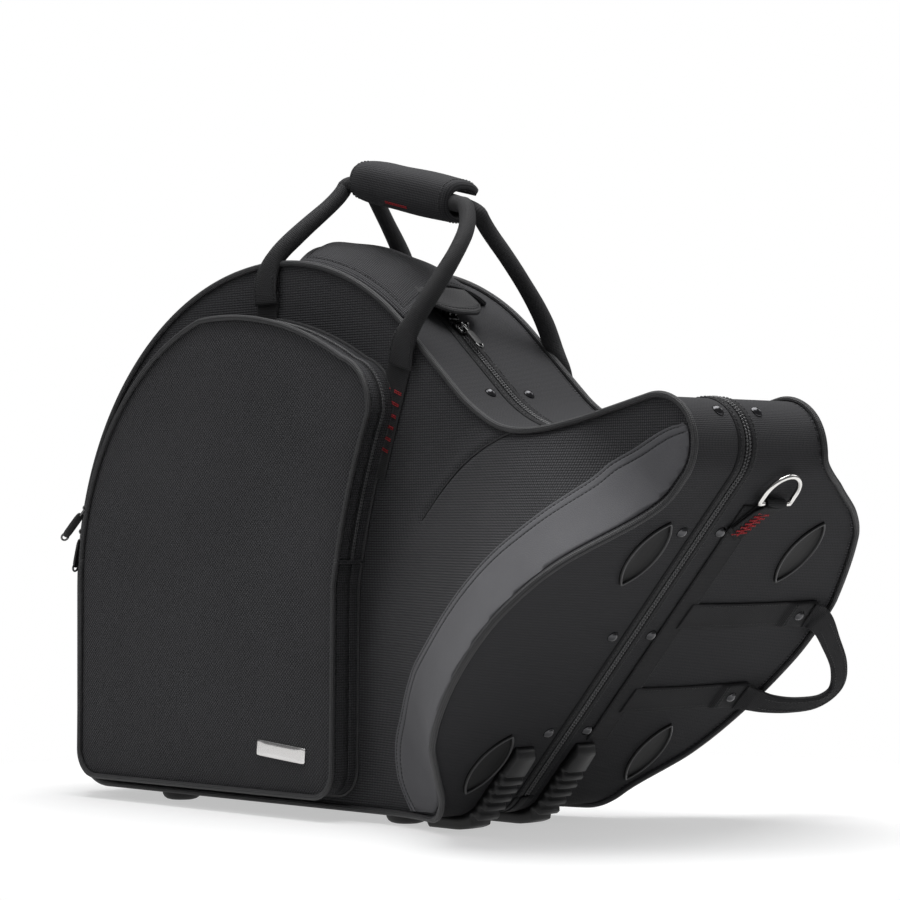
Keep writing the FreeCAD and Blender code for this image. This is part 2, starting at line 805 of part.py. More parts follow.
def pull(at, along, out, width_dir, low, tab_len=pull_len, lift=0.0):
    """Pull tab: an eye between the slider's ears, then a flat tab that lies along the zip."""
    r = ear_h / 2 - clear
    centre = pull_eye(at, out, low)
    neck_w = 2 * (ear_at - ear_w / 2 - clear)
    eye = Part.makeCylinder(r, neck_w, centre - width_dir * (neck_w / 2), width_dir)
    seat = centre - out * (pull_t / 2)
    neck = block_at(seat + along * (pull_step / 2), along, out, width_dir, (pull_step, neck_w, pull_t), 0)
    middle = pull_step + tab_len / 2
    tab = block_at(seat + along * middle, along, out, width_dir, (tab_len, pull_w, pull_t), 0)
    end = centre + along * (pull_step + tab_len - pull_w / 2)
    hole = Part.makeCylinder(pull_w / 4, 4 * pull_t, end - out * (2 * pull_t), out)
    shape = eye.fuse([neck, tab]).removeSplitter().cut(hole)
    shape.rotate(centre, width_dir, -lift)
    return shape


def left_slider_frame():
    """Seat on the coil at the crest, the way the pull lies, outward, width and height over the band."""
    out = polar(90 - slider_left_deg, 1)
    return crest_c + out * crest_r, polar(180 - slider_left_deg, 1), out, V(0, 1, 0), coil_top


def right_slider_frame():
    out = polar(90 - slope_tilt, 1)
    along = polar(-slope_tilt, 1)
    return slope_top + along * slider_right_step, along, out, V(0, 1, 0), coil_top


def pocket_corner():
    """Centre and radius of the round corner that the pocket's zip follows, at the depth of the zip."""
    points = pocket_points(0.0, pocket_spread * (1 - pocket_seam / pocket_depth), -front_base - pocket_seam)
    circle = Part.Arc(points[3], points[4], points[5]).toShape().Curve
    return circle.Center, circle.Radius


def pocket_slider_frame(z):
    """Seat on the slanted side of the pocket, over its zip, at a height z."""
    centre, r = pocket_corner()
    turn = math.degrees(math.asin((z - centre.z) / r))
    out = polar(180 - turn, 1)
    slant = V(out.x * pocket_spread, pocket_depth, 0).normalize()
    along = polar(270 - turn, 1)
    normal = slant.cross(along).normalize()
    return centre + out * r, along, normal, normal.cross(along), clear


def face_slab(s0, s1, y0, y1, low, high):
    """Flat slab on the end face between two places up the slope and two across."""
    corners = [on_face(s0, y0, low), on_face(s1, y0, low), on_face(s1, y1, low), on_face(s0, y1, low)]
    return Part.Face(Part.makePolygon(corners + corners[:1])).extrude(face_out * (high - low))


def end_straps():
    """Webbing of the end handle, from the binding strip across the face, folded double at its end."""
    pieces = []
    for s, y in ((loop_up, loop_up_y), (loop_down, loop_down_y)):
        s0, s1 = s - strap_w / 2, s + strap_w / 2
        far = y + loop_t
        strap = face_slab(s0, s1, binding_in + binding_w, far, 0, strap_t)
        pieces.append(strap.fuse(face_slab(s0, s1, far - fold_len, far, 0, 2 * strap_t)).removeSplitter())
    return Part.makeCompound(pieces)


loop_seat = 2 * strap_t + clear


def loop_frame():
    """Hinge line of the loop handle, from its lower to its upper end."""
    up = loop_seat + loop_t / 2
    return on_face(loop_down, loop_down_y, up), on_face(loop_up, loop_up_y, up)


def end_loop():
    """Folded webbing loop: two legs across the face and a half round beyond the rim."""
    low, high = loop_frame()
    side = (high - low).normalize()
    half = loop_band / 2
    lean = (loop_up_y - loop_down_y) / (loop_up - loop_down)
    mid_s = (loop_up + loop_down) / 2
    turn_y = max(loop_up_y, loop_down_y) + loop_reach
    r = (loop_up - loop_down) / 2

    def p(s, y):
        return on_face(s, y, loop_seat)

    edges = [line(p(loop_up + half, loop_up_y + lean * half), p(loop_up + half, turn_y)),
             Part.Arc(p(loop_up + half, turn_y), p(mid_s, turn_y + r + half), p(loop_down - half, turn_y)).toShape(),
             line(p(loop_down - half, turn_y), p(loop_down - half, loop_down_y - lean * half)),
             line(p(loop_down - half, loop_down_y - lean * half), p(loop_down + half, loop_down_y + lean * half)),
             line(p(loop_down + half, loop_down_y + lean * half), p(loop_down + half, turn_y)),
             Part.Arc(p(loop_down + half, turn_y), p(mid_s, turn_y + r - half), p(loop_up - half, turn_y)).toShape(),
             line(p(loop_up - half, turn_y), p(loop_up - half, loop_up_y - lean * half)),
             line(p(loop_up - half, loop_up_y - lean * half), p(loop_up + half, loop_up_y + lean * half))]
    band = Part.Face(Part.Wire(edges)).extrude(face_out * loop_t)
    rolls = [Part.makeCylinder(loop_t / 2, loop_band, end - side * half, side) for end in (low, high)]
    return band.fuse(rolls).removeSplitter()


sleeve_r = ring_wire + clear + tab_wall


def ring_centre():
    return on_face(ring_s, ring_y, binding_t + sleeve_r)


def d_ring():
    """Ring of round wire: a straight bar, two short sides and a half round."""
    half = ring_bar / 2
    bar = ring_centre()
    a = bar + across(-half)
    b = bar + across(half)
    c = a + face_up * ring_reach
    d = b + face_up * ring_reach
    sides = [tube([c, a, b, d], ring_wire)]
    bow = Part.makeTorus(half, ring_wire, (c + d) * 0.5, face_out)
    keep = Part.makeBox(4 * half, 4 * half, 4 * half, V(0, -2 * half, -2 * half))
    turn = FreeCAD.Rotation(V(1, 0, 0), face_up)
    keep.Placement = FreeCAD.Placement((c + d) * 0.5, turn)
    return sides[0].fuse(bow.common(keep)).removeSplitter()


def ring_tab():
    """Webbing tab folded round the ring's bar and sewn to the binding strip and the face."""
    bar = ring_centre()
    start = across(-tab_w / 2)
    outer = Part.makeCylinder(sleeve_r, tab_w, bar + start, V(0, 1, 0))
    bore = Part.makeCylinder(ring_wire + clear, 2 * tab_w, bar + start * 2, V(0, 1, 0))
    y = ring_y - tab_w / 2
    tongue = face_slab(ring_s - tab_len, ring_s, y, y + tab_w, binding_t, binding_t + tab_wall)
    return outer.fuse(tongue).cut(bore).removeSplitter()


def binding_strip():
    """Flat binding beside the zip on the back half of the end face, from the skid up."""
    return face_slab(skid_top() + clear, binding_top, binding_in, binding_in + binding_w, 0, binding_t)


def rim_stripe():
    """Smooth band sewn over the front flare, along the rim."""
    skin = flare_loft(front, -stripe_t).cut(flare_loft(front, 0.0))
    first, last = front_flare_shares[0][0] * rim_half, front_flare_shares[-1][0] * rim_half
    reach = face_slab(first, last, -front_full - overrun, 0, -stripe_w, -stripe_edge)
    above = front.slab(-stripe_edge / 2, front_base + stripe_t, front_full + overrun)
    return skin.common(reach).common(above)


def notched(x0, x1, y0, y1, z0, z1, r):
    """Padded block with a round notch along Y in its top."""
    block = box_between(x0, x1, y0, y1, z0, z1)
    bite = Part.makeCylinder(r, 2 * abs(y1 - y0), V((x0 + x1) / 2, y0 - abs(y1 - y0), z1), V(0, 1, 0))
    return block.cut(bite)



def valve_block():
    """Padded block that holds the horn's valve section."""
    low = foot_h + inner
    return notched(block_x - block_len / 2, block_x + block_len / 2, back_base - inner - block_w,
                   back_base - inner, low, low + block_low, block_notch_r)


throat_x = heel_c.x - throat_in


def throat_block():
    """Padded block under the bell's throat."""
    low = foot_h + inner
    return notched(throat_x - throat_len, throat_x, back_base - inner - throat_w, back_base - inner,
                   low, throat_low, throat_notch_r)


def horn_cuff():
    """Strap that closes over the horn, sewn to the throat block."""
    y = back_base - inner - throat_w
    low = foot_h + inner
    x = throat_x - throat_len / 2
    return box_between(x - cuff_w / 2, x + cuff_w / 2, y - cuff_t, y, low + cuff_w, throat_low - throat_notch_r - cuff_t)


def mouthpiece_holder():
    """Padded cup in the lid for a mouthpiece, open at its top."""
    y = -front_base + inner + holder_r
    cup = Part.makeCylinder(holder_r, holder_h, V(holder_x, y, holder_z))
    bore = Part.makeCylinder(holder_bore, holder_h, V(holder_x, y, holder_z + holder_r - holder_bore))
    return cup.cut(bore)


def lid_pad():
    """Press pad in the lid that steadies the horn."""
    y = -front_base + inner
    pad = box_between(lid_pad_x - lid_pad_w / 2, lid_pad_x + lid_pad_w / 2, y, y + lid_pad_t,
                      lid_pad_z - lid_pad_h / 2, lid_pad_z + lid_pad_h / 2)
    edges = [e for e in pad.Edges if e.BoundBox.YMax > y + lid_pad_t - hair]
    return pad.makeFillet(lid_pad_t / 2, edges)


def end_rivets():
    """Rivets through the two ends of the loop handle."""
    heads = []
    for s, y in ((loop_up, loop_up_y), (loop_down, loop_down_y)):
        heads.append(dome(on_face(s, y - 2 * rivet_r, 2 * strap_t), face_out))
    return heads


def build():
    front_shell, front_lining = make_half(front)
    back_shell, back_lining = make_half(back)
    nodes = {}
    nodes["back_shell"] = back_shell
    nodes["back_lining"] = back_lining
    nodes["back_piping"] = piping(back)
    nodes["zip_tape_back"] = zip_tape(back)
    nodes["spine_tape_back"] = spine_tape(back)
    nodes["binding_strip"] = binding_strip()
    nodes["end_handle_straps"] = end_straps()
    nodes["rivets_back"] = Part.makeCompound(rivets(back).Solids + end_rivets())
    nodes["bumpers_back"] = Part.makeCompound([bumper(leaf_up, leaf_back), bumper(leaf_down, leaf_back_low)])
    nodes["skid_back"] = skid(skid_back)
    nodes["feet_back"] = Part.makeCompound([foot(foot_left, foot_back), foot(foot_right, foot_back)])
    nodes["back_handle_straps"] = back_straps()
    nodes["ring_tab"] = ring_tab()
    nodes["top_flap"] = top_flap()
    nodes["valve_block"] = valve_block()
    nodes["throat_block"] = throat_block()
    nodes["horn_cuff"] = horn_cuff()
    nodes["flap_tongue"] = flap_tongue()
    nodes["zip_slider_left"] = slider(*left_slider_frame())
    nodes["zip_pull_left"] = pull(*left_slider_frame())
    nodes["zip_slider_right"] = slider(*right_slider_frame())
    nodes["zip_pull_right"] = pull(*right_slider_frame())
    nodes["back_handle"] = tube(back_handle_points(), tube_r)
    nodes["end_handle_loop"] = end_loop()
    nodes["d_ring"] = d_ring()
    nodes["front_shell"] = front_shell
    nodes["front_lining"] = front_lining
    nodes["front_piping"] = piping(front)
    nodes["rim_stripe"] = rim_stripe()
    nodes["zip_tape_front"] = zip_tape(front)
    nodes["spine_tape_front"] = spine_tape(front)
    nodes["rivets_front"] = rivets(front)
    nodes["bumpers_front"] = Part.makeCompound([bumper(leaf_up, leaf_front), bumper(leaf_down, leaf_front_low)])
    nodes["skid_front"] = skid(-skid_front)
    nodes["feet_front"] = Part.makeCompound([foot(foot_left, -foot_front), foot(foot_right, -foot_front)])
    nodes["front_handle_straps"] = front_straps()
    nodes["mouthpiece_holder"] = mouthpiece_holder()
    nodes["lid_pad"] = lid_pad()
    nodes["pocket_gusset"] = pocket_gusset()
    nodes["pocket_front_lower"] = pocket_lower()
    nodes["pocket_zip_fixed"] = pocket_zip_fixed()
    nodes["pocket_piping_lower"] = pocket_piping(0, pocket_fold_z - hair)
    nodes["name_plate_blank"] = plate()
    nodes["pocket_flap"] = pocket_flap()
    nodes["pocket_zip_moving"] = pocket_zip_moving()
    nodes["pocket_piping_upper"] = pocket_piping(pocket_fold_z + hair, pocket_top)
    for i, name in enumerate(("upper", "lower")):
        frame = pocket_slider_frame(pocket_slider_z - i * pocket_slider_gap)
        lift = (pocket_pull_upper_deg, pocket_pull_lower_deg)[i]
        nodes["pocket_slider_" + name] = slider(*frame)
        nodes["pocket_pull_" + name] = pull(*frame, pocket_pull_len, lift)
    nodes["front_handle"] = tube(front_handle_points(), tube_r)
    nodes["grip_wrap"] = grip_wrap()
    return nodes


nodes = build()
total = FreeCAD.BoundBox()
for shape in nodes.values():
    total.add(shape.optimalBoundingBox(False, False))
shift = V(-(total.XMin + total.XMax) / 2, -(total.YMin + total.YMax) / 2, -total.ZMin)
os.makedirs("parts", exist_ok=True)
for name, shape in nodes.items():
    shape.translate(shift)
    shape.exportStep("parts/" + name + ".step")
    print(name, len(shape.Solids), "valid" if shape.isValid() else "NOT VALID", round(shape.Volume / 1000, 1))


def told(label, point):
    print(label, [round(c, 3) for c in (point.x, point.y, point.z)])


print("size", round(total.XLength, 1), round(total.YLength, 1), round(total.ZLength, 1))
told("shift", shift)
told("lid hinge", V(0, 0, foot_h) + shift)
told("pocket fold", V(pocket_left + pocket_w / 2, pocket_hinge_y, pocket_fold_z) + shift)
told("front handle pivot", V(front_left_x, front_pivot_y, front_left_z) + shift)
told("front handle other pivot", V(front_right_x, front_pivot_y, front_right_z) + shift)
told("back handle pivot", V(back_left_x, back_pivot_y, back_left_z) + shift)
told("back handle other pivot", V(back_right_x, back_pivot_y, back_right_z) + shift)
told("tongue hinge", tongue_frame()[0] + across(tongue_front) + shift)
told("loop low", loop_frame()[0] + shift)
told("loop high", loop_frame()[1] + shift)
told("ring bar", ring_centre() + shift)
told("crest centre", crest_c + shift)
told("slope direction", polar(-slope_tilt, 1))
told("face out", face_out)
told("face up", face_up)
told("rim middle", rim_mid + shift)
for label, frame in (("left", left_slider_frame()), ("right", right_slider_frame()),
                     ("upper", pocket_slider_frame(pocket_slider_z)),
                     ("lower", pocket_slider_frame(pocket_slider_z - pocket_slider_gap))):
    told("pull eye " + label, pull_eye(frame[0], frame[2], frame[4]) + shift)
    told("width " + label, frame[3])
told("pocket corner", pocket_corner()[0] + shift)
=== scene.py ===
import bmesh
import bpy
import json
import math
import numpy as np
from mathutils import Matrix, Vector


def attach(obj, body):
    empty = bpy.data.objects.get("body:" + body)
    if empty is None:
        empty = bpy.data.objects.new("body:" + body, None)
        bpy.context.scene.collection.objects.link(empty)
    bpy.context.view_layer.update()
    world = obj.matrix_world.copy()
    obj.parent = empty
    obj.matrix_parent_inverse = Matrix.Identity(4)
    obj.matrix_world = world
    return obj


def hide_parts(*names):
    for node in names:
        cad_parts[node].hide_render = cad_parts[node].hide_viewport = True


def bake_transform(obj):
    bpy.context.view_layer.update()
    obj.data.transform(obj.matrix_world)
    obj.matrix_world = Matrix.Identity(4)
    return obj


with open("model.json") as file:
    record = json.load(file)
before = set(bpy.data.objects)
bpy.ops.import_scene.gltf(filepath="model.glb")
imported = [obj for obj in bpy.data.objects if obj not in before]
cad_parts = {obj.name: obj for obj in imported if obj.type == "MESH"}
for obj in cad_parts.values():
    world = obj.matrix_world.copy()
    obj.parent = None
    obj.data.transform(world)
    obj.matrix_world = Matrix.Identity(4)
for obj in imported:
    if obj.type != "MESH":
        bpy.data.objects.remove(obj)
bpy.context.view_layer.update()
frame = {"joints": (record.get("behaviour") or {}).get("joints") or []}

# The two halves of the case: rigid foam cut to the outline of a french horn and covered in ballistic
# cloth. Each has a side panel, which swells into the flare round the bell, and a band that runs from the
# piping to the zip. Sizes are millimetres from the zip's plane, with X towards the bell and Z up.
foot_h = 11.0
lid_hinge = next(j for j in frame["joints"] if j["name"] == "lid_hinge")
place = np.array(lid_hinge["pos_m"]) * 1000 - (0, 0, foot_h)


def polar(deg, length):
    """Vector of a length in the X-Z plane, at an angle from X in degrees."""
    return np.array((math.cos(math.radians(deg)), math.sin(math.radians(deg)))) * length


def lengths(path, looped=False):
    """How far along a path each of its points lies, and the whole way round too if it is looped."""
    steps = np.diff(path, axis=0, append=path[:int(looped)])
    return np.concatenate(((0.0,), np.cumsum(np.linalg.norm(steps, axis=-1))))


arch_r, crest_r, saddle_r, nose_r, heel_r, corner_r = 265.0, 217.5, 128.0, 34.0, 32.0, 38.0
slope_tilt, rise_tilt, face_lean = 42.0, 13.0, 41.5
slope_len, rise_len, rim_drop = 78.0, 86.0, 151.0
arch_c = np.array((-137.0, 177.0))
crest_c = arch_c + (0, arch_r - crest_r)
slope_top = crest_c + polar(90 - slope_tilt, crest_r)
slope_end = slope_top + polar(-slope_tilt, slope_len)
saddle_c = slope_end + polar(90 - slope_tilt, saddle_r)
rise_start = saddle_c + polar(270 + rise_tilt, saddle_r)
rise_end = rise_start + polar(rise_tilt, rise_len)
nose_c = rise_end + polar(rise_tilt - 90, nose_r)
nose_end = nose_c + polar(-face_lean, nose_r)
face_out, face_up = polar(-face_lean, 1), polar(90 - face_lean, 1)
rim_mid = nose_end - face_up * rim_drop
heel_side = nose_c + polar(-face_lean, nose_r - heel_r)
heel_c = heel_side - face_up * ((heel_side[1] - foot_h - heel_r) / face_up[1])
corner_c = np.array((arch_c[0] - arch_r + corner_r, foot_h + corner_r))
outline_step = 3.0


def arc_run(centre, r, a0, a1, hollow=False):
    """Points centre + r (cos a, sin a) for a from a0 to a1, and which way is outward at each."""
    count = max(2, int(round(abs(math.radians(a1 - a0)) * r / outline_step)))
    a = np.radians(np.linspace(a0, a1, count, endpoint=False))
    out = np.stack((np.cos(a), np.sin(a)), 1)
    return centre + r * out, -out if hollow else out


def line_run(a, b):
    """Points a + t (b - a), with outward to the left of the way they run."""
    length = np.linalg.norm(b - a)
    t = np.linspace(0, 1, max(2, int(round(length / outline_step))), endpoint=False)[:, None]
    out = np.array((a[1] - b[1], b[0] - a[0])) / length
    return a + t * (b - a), np.broadcast_to(out, (len(t), 2))


runs = [arc_run(arch_c, arch_r, 180, 90),
        arc_run(crest_c, crest_r, 90, 90 - slope_tilt),
        line_run(slope_top, slope_end),
        arc_run(saddle_c, saddle_r, 270 - slope_tilt, 270 + rise_tilt, hollow=True),
        line_run(rise_start, rise_end),
        arc_run(nose_c, nose_r, 90 + rise_tilt, -face_lean),
        line_run(nose_end, heel_c + face_out * heel_r),
        arc_run(heel_c, heel_r, -face_lean, -90),
        line_run(heel_c - (0, heel_r), corner_c - (0, corner_r)),
        arc_run(corner_c, corner_r, -90, -180),
        line_run(corner_c - (corner_r, 0), arch_c - (arch_r, 0))]
outline = np.concatenate([r[0] for r in runs])
outward = np.concatenate([r[1] for r in runs])
ring_len = lengths(outline, looped=True)


def eased(table, x):
    """Cubic through a table of pairs, level at both ends."""
    xs, ys = np.array(table, float).T
    rise = np.zeros(len(xs))
    rise[1:-1] = (ys[2:] - ys[:-2]) / (xs[2:] - xs[:-2])
    x = np.clip(x, xs[0], xs[-1])
    i = np.clip(np.searchsorted(xs, x) - 1, 0, len(xs) - 2)
    h = xs[i + 1] - xs[i]
    t = (x - xs[i]) / h
    low = (2 * t ** 3 - 3 * t ** 2 + 1) * ys[i] + (t ** 3 - 2 * t ** 2 + t) * h * rise[i]
    return low + (3 * t ** 2 - 2 * t ** 3) * ys[i + 1] + (t ** 3 - t ** 2) * h * rise[i + 1]


front = {"sign": -1, "base": 58.0, "full": 161.0,
         "shares": ((-2.2, 0.0), (-1.4, 0.03), (-0.94, 0.33), (-0.74, 0.6), (-0.57, 0.82), (-0.29, 0.98),
                    (0.0, 1.0), (0.2, 0.9), (0.375, 0.69), (0.61, 0.17), (0.78, 0.02), (1.5, 0.0))}
back = {"sign": 1, "base": 82.0, "full": 212.0,
        "shares": ((-2.2, 0.0), (-1.4, 0.03), (-0.96, 0.25), (-0.73, 0.63), (-0.48, 0.85), (-0.2, 0.98),
                   (0.0, 1.0), (0.15, 0.98), (0.5, 0.77), (0.63, 0.6), (0.76, 0.33), (0.9, 0.07), (1.5, 0.0))}
halves = ((front, "lid", "front"), (back, "back_half", "back"))
flare_len, flare_power, flare_dip, flare_blend, rim_half = 215.0, 1.4, 6.0, 3.0, 187.0


def up_slope(p):
    """Place of points (x, z) up the slope of the end face, and how far in from it they are."""
    rel = p - rim_mid
    return rel @ face_up, -(rel @ face_out)


def depth(half, p):
    """Depth of a half at points (x, z): its base, or the flare where that is more, joined softly:
    (a + b + root of ((a - b) squared + k squared)) / 2."""
    s, d = up_slope(p)
    fade = np.clip(1 - np.maximum(d, 0) / flare_len, 0, 1) ** flare_power
    low = half["base"] - flare_dip
    flare = low + eased(half["shares"], s / rim_half) * (half["full"] - low) * fade
    return (flare + half["base"] + np.sqrt((flare - half["base"]) ** 2 + flare_blend ** 2)) / 2


def raised(p, y):
    """Points (x, y, z) from points (x, z) and their y."""
    shape = np.broadcast_shapes(p.shape[:-1], np.shape(y))
    p = np.broadcast_to(p, shape + (2,))
    return np.stack((p[..., 0], np.broadcast_to(y, shape), p[..., 1]), -1)


def grid(points, uv=None, round_i=False, round_j=False):
    """A surface on a grid of points: faces between neighbours, closed on itself where round_i or round_j
    says so. uv is the cloth's own measure in millimetres, from the lengths along the grid if not given."""
    m, n = points.shape[:2]
    if uv is None:
        span_i = np.linalg.norm(np.diff(points, axis=0, append=points[:1]), axis=2).mean(1)
        span_j = np.linalg.norm(np.diff(points, axis=1, append=points[:, :1]), axis=2).mean(0)
        u, v = (np.concatenate(((0.0,), np.cumsum(k))) for k in (span_i, span_j))
        u, v = u[:m + round_i], v[:n + round_j]
        uv = np.stack(np.meshgrid(u, v, indexing="ij"), -1)
    i, j = np.meshgrid(np.arange(m if round_i else m - 1), np.arange(n if round_j else n - 1), indexing="ij")
    i, j = i.ravel(), j.ravel()
    corners = ((i, j), (i + 1, j), (i + 1, j + 1), (i, j + 1))
    faces = np.stack([(a % m) * n + b % n for a, b in corners], 1)
    rows, cols = uv.shape[0] - 1, uv.shape[1] - 1
    loops = np.stack([uv[np.minimum(a, rows), np.minimum(b, cols)] for a, b in corners], 1)
    return points.reshape(-1, 3), faces, loops


def capped(points):
    """Rows closed on themselves, with the first and last drawn in to a point, which closes both ends."""
    ends = [np.broadcast_to(points[k].mean(0), points[k].shape)[None] for k in (0, -1)]
    return grid(np.concatenate((ends[0], points, ends[1])), round_j=True)


def sandwich(top, under):
    """Two sheets joined along all their edges: each row runs over the top and back underneath, and the
    first and last rows are drawn in to the middle between the two."""
    rows = np.concatenate((top, under[:, ::-1]), 1)
    middle = (top + under) / 2
    ends = [np.concatenate((middle[k], middle[k][::-1]))[None] for k in (0, -1)]
    return grid(np.concatenate((ends[0], rows, ends[1])), round_j=True)


def make(name, grids, material, body, slot, *nodes):
    """One piece from its grids: the mesh in metres, points that meet merged, faces turned outward."""
    starts = np.cumsum([0] + [len(g[0]) for g in grids])
    points = (np.concatenate([g[0] for g in grids]) + place) / 1000
    faces = np.concatenate([g[1] + k for g, k in zip(grids, starts)])
    loops = np.concatenate([g[2] for g in grids]) / 1000
    mesh = bpy.data.meshes.new(name)
    mesh.from_pydata(points.tolist(), [], faces.tolist())
    mesh.uv_layers.new(name="cloth").data.foreach_set("uv", loops.astype(np.float32).ravel())
    bm = bmesh.new()
    bm.from_mesh(mesh)
    bmesh.ops.remove_doubles(bm, verts=bm.verts, dist=1e-6)
    bmesh.ops.dissolve_degenerate(bm, edges=bm.edges, dist=1e-7)
    bmesh.ops.recalc_face_normals(bm, faces=bm.faces)
    bm.to_mesh(mesh)
    bm.free()
    mesh.polygons.foreach_set("use_smooth", [True] * len(mesh.polygons))
    mesh.materials.append(material)
    piece = bpy.data.objects.new(name, mesh)
    bpy.context.scene.collection.objects.link(piece)
    if body:
        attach(piece, body)
    if nodes:
        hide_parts(*nodes)
    return piece


def feed(tree, socket, value):
    """A value for an input: another node's output as a link, and a number or colour as its setting."""
    if isinstance(value, bpy.types.NodeSocket):
        tree.links.new(value, socket)
    elif value is not None:
        socket.default_value = value


def put(tree, kind, *values, **named):
    """Adds a node to a material and returns it. values go to its inputs in order, and a named value with a
    capital to the input of that name; other named values set a property."""
    made = tree.nodes.new("ShaderNode" + kind)
    for key, value in named.items():
        if key[0].islower():
            setattr(made, key, value)
    inputs = list(zip(made.inputs, values))
    inputs += [(made.inputs[k.replace("_", " ")], v) for k, v in named.items() if k[0].isupper()]
    for socket, value in inputs:
        feed(tree, socket, value)
    return made


def sums(tree, kind, *values):
    """The result of a math node."""
    return put(tree, "Math", *values, operation=kind).outputs[0]


def mixed(tree, a, b, share):
    """a times its share, plus b times the rest."""
    return sums(tree, "MULTIPLY_ADD", a, share, sums(tree, "MULTIPLY", b, 1 - share))


def ridged(tree, value):
    """Rounded ridges, |sin (pi x)|, one to each whole step of a value x."""
    return sums(tree, "ABSOLUTE", sums(tree, "SINE", sums(tree, "MULTIPLY", value, math.pi)))


def noise(tree, scale, detail=4.0, **named):
    """Noise from 0 to 1 that stays with the piece."""
    where = put(tree, "TexCoord").outputs["Object"]
    return put(tree, "TexNoise", where, Scale=scale, Detail=detail, **named).outputs[0]


def shades(tree, factor, dark, light):
    """A colour between two, by a factor from 0 to 1."""
    return put(tree, "Mix", factor, None, None, None, None, None, (*dark, 1), (*light, 1),
               data_type="RGBA", clamp_factor=True).outputs[2]


def blank(name):
    """A new material and its node tree."""
    material = bpy.data.materials.new(name)
    material.use_nodes = True
    return material, material.node_tree


def dress(material, colour, height=None, proud=0.0, **settings):
    """Feeds a material's shader: its colour, its bump, which is a height from 0 to 1 over proud metres, and
    its other inputs by their names."""
    tree = material.node_tree
    shader = tree.nodes["Principled BSDF"]
    feed(tree, shader.inputs["Base Color"], colour)
    if height is not None:
        bump = put(tree, "Bump", Strength=1.0, Distance=proud, Height=height)
        feed(tree, shader.inputs["Normal"], bump.outputs["Normal"])
    for key, value in settings.items():
        feed(tree, shader.inputs[key.replace("_", " ")], value)
    return material


def cloth_uv(tree, pitch):
    """The cloth's own measure, counted in threads of a pitch in metres."""
    uv = put(tree, "UVMap", uv_map="cloth").outputs[0]
    return put(tree, "VectorMath", uv, None, None, 1 / pitch, operation="SCALE").outputs[0]


def woven(name, dark, light, pitch, proud, rough=0.8, gloss=0.15, turn=0.0):
    """Basket weave: threads go over and under by turns, each a rounded ridge, |sin| across it, that dips at
    both ends by |sin| along it. Colour drifts in patches, and the ridges are paler than the gaps between
    them, which is painted shade in the gaps."""
    material, tree = blank(name)
    threads = cloth_uv(tree, pitch)
    if turn:
        threads = put(tree, "VectorRotate", threads, Axis=(0, 0, 1), Angle=math.radians(turn)).outputs[0]
    part = put(tree, "SeparateXYZ", threads).outputs
    ridge_u, ridge_v = ridged(tree, part[0]), ridged(tree, part[1])
    over = put(tree, "TexChecker", threads, (1, 1, 1, 1), (0, 0, 0, 1), 1.0).outputs[1]
    ridge = put(tree, "Mix", over, None, ridge_u, ridge_v).outputs[0]
    dip = put(tree, "Mix", over, None, ridge_v, ridge_u).outputs[0]
    height = sums(tree, "MULTIPLY", ridge, sums(tree, "MULTIPLY_ADD", dip, 0.65, 0.35))
    patches = noise(tree, 9.0, Roughness=0.6)
    # The colour follows the weave's height: painted shade in the gaps between threads, mixed with the patchy
    # tone.
    return dress(material, shades(tree, mixed(tree, height, patches, 0.75), dark, light), height, proud,
                 Roughness=sums(tree, "MULTIPLY_ADD", patches, 0.12, rough - 0.06), Specular_IOR_Level=gloss,
                 Sheen_Weight=0.04, Sheen_Roughness=0.4)


case_cloth = woven("ballistic_cloth", (0.006, 0.006, 0.0065), (0.100, 0.100, 0.106), 0.0020, 0.0006)
band_cloth = woven("gusset_cloth", (0.020, 0.020, 0.0212), (0.069, 0.069, 0.073), 0.0016, 0.0003)

panel_core = np.array((60.0, 170.0))
panel_wall, edge_roll, edge_width = 3.0, 1.8, 10.0
puff, puff_x, puff_z = 0.5, 41.0, 33.0


def panel_points(half, q, lower):
    """Points of a side panel: the outline drawn in to its core by shares q, at the half's depth less a
    rolled edge, roll (1 - distance / width) squared, with a soft waviness of the padding."""
    arm = outline - panel_core
    p = panel_core + arm * q[:, None, None]
    from_edge = (1 - q)[:, None] * np.sum(arm * outward, 1)
    roll = edge_roll * np.clip(1 - from_edge / edge_width, 0, 1) ** 2
    calm = np.clip(from_edge / (4 * edge_width), 0, 1)
    wave = puff * calm * np.sin(p[..., 0] / puff_x) * np.cos(p[..., 1] / puff_z)
    return raised(p, half["sign"] * (depth(half, p) - roll - lower + wave))


dart_top, dart_low = np.array((136.0, 302.0)), np.array((32.0, 237.0))
dart_bow, dart_deep, dart_wide = 10.0, 2.0, 3.0
dart_way = dart_low - dart_top
dart_side = np.array((dart_way[1], -dart_way[0])) / np.linalg.norm(dart_way)


def darted(points):
    """The front panel's dart: a groove, deep exp (-(off / wide) squared), along the bowed seam where the
    flare leaves the flat."""
    rel = points[..., (0, 2)] - dart_top
    t = np.clip(rel @ dart_way / (dart_way @ dart_way), 0, 1)
    off = np.linalg.norm(rel - t[..., None] * dart_way, axis=-1)
    off = np.where((t > 0) & (t < 1), np.abs(rel @ dart_side - dart_bow * np.sin(math.pi * t)), off)
    points[..., 1] += dart_deep * np.exp(-(off / dart_wide) ** 2)
    return points


for half, body, label in halves:
    panel = panel_points(half, 1 - (1 - np.linspace(0, 1, 96)) ** 1.25, 0.0)
    if half is front:
        panel = darted(panel)
    under = panel_points(half, np.linspace(1, 0, 14), panel_wall)
    skin = np.concatenate((panel, under))
    flat_uv = np.concatenate((skin, skin[:, :1]), 1)[..., (0, 2)]
    make(label + "_panel", [grid(skin, flat_uv, round_j=True)], case_cloth, body, "shell_cloth",
         label + "_shell")

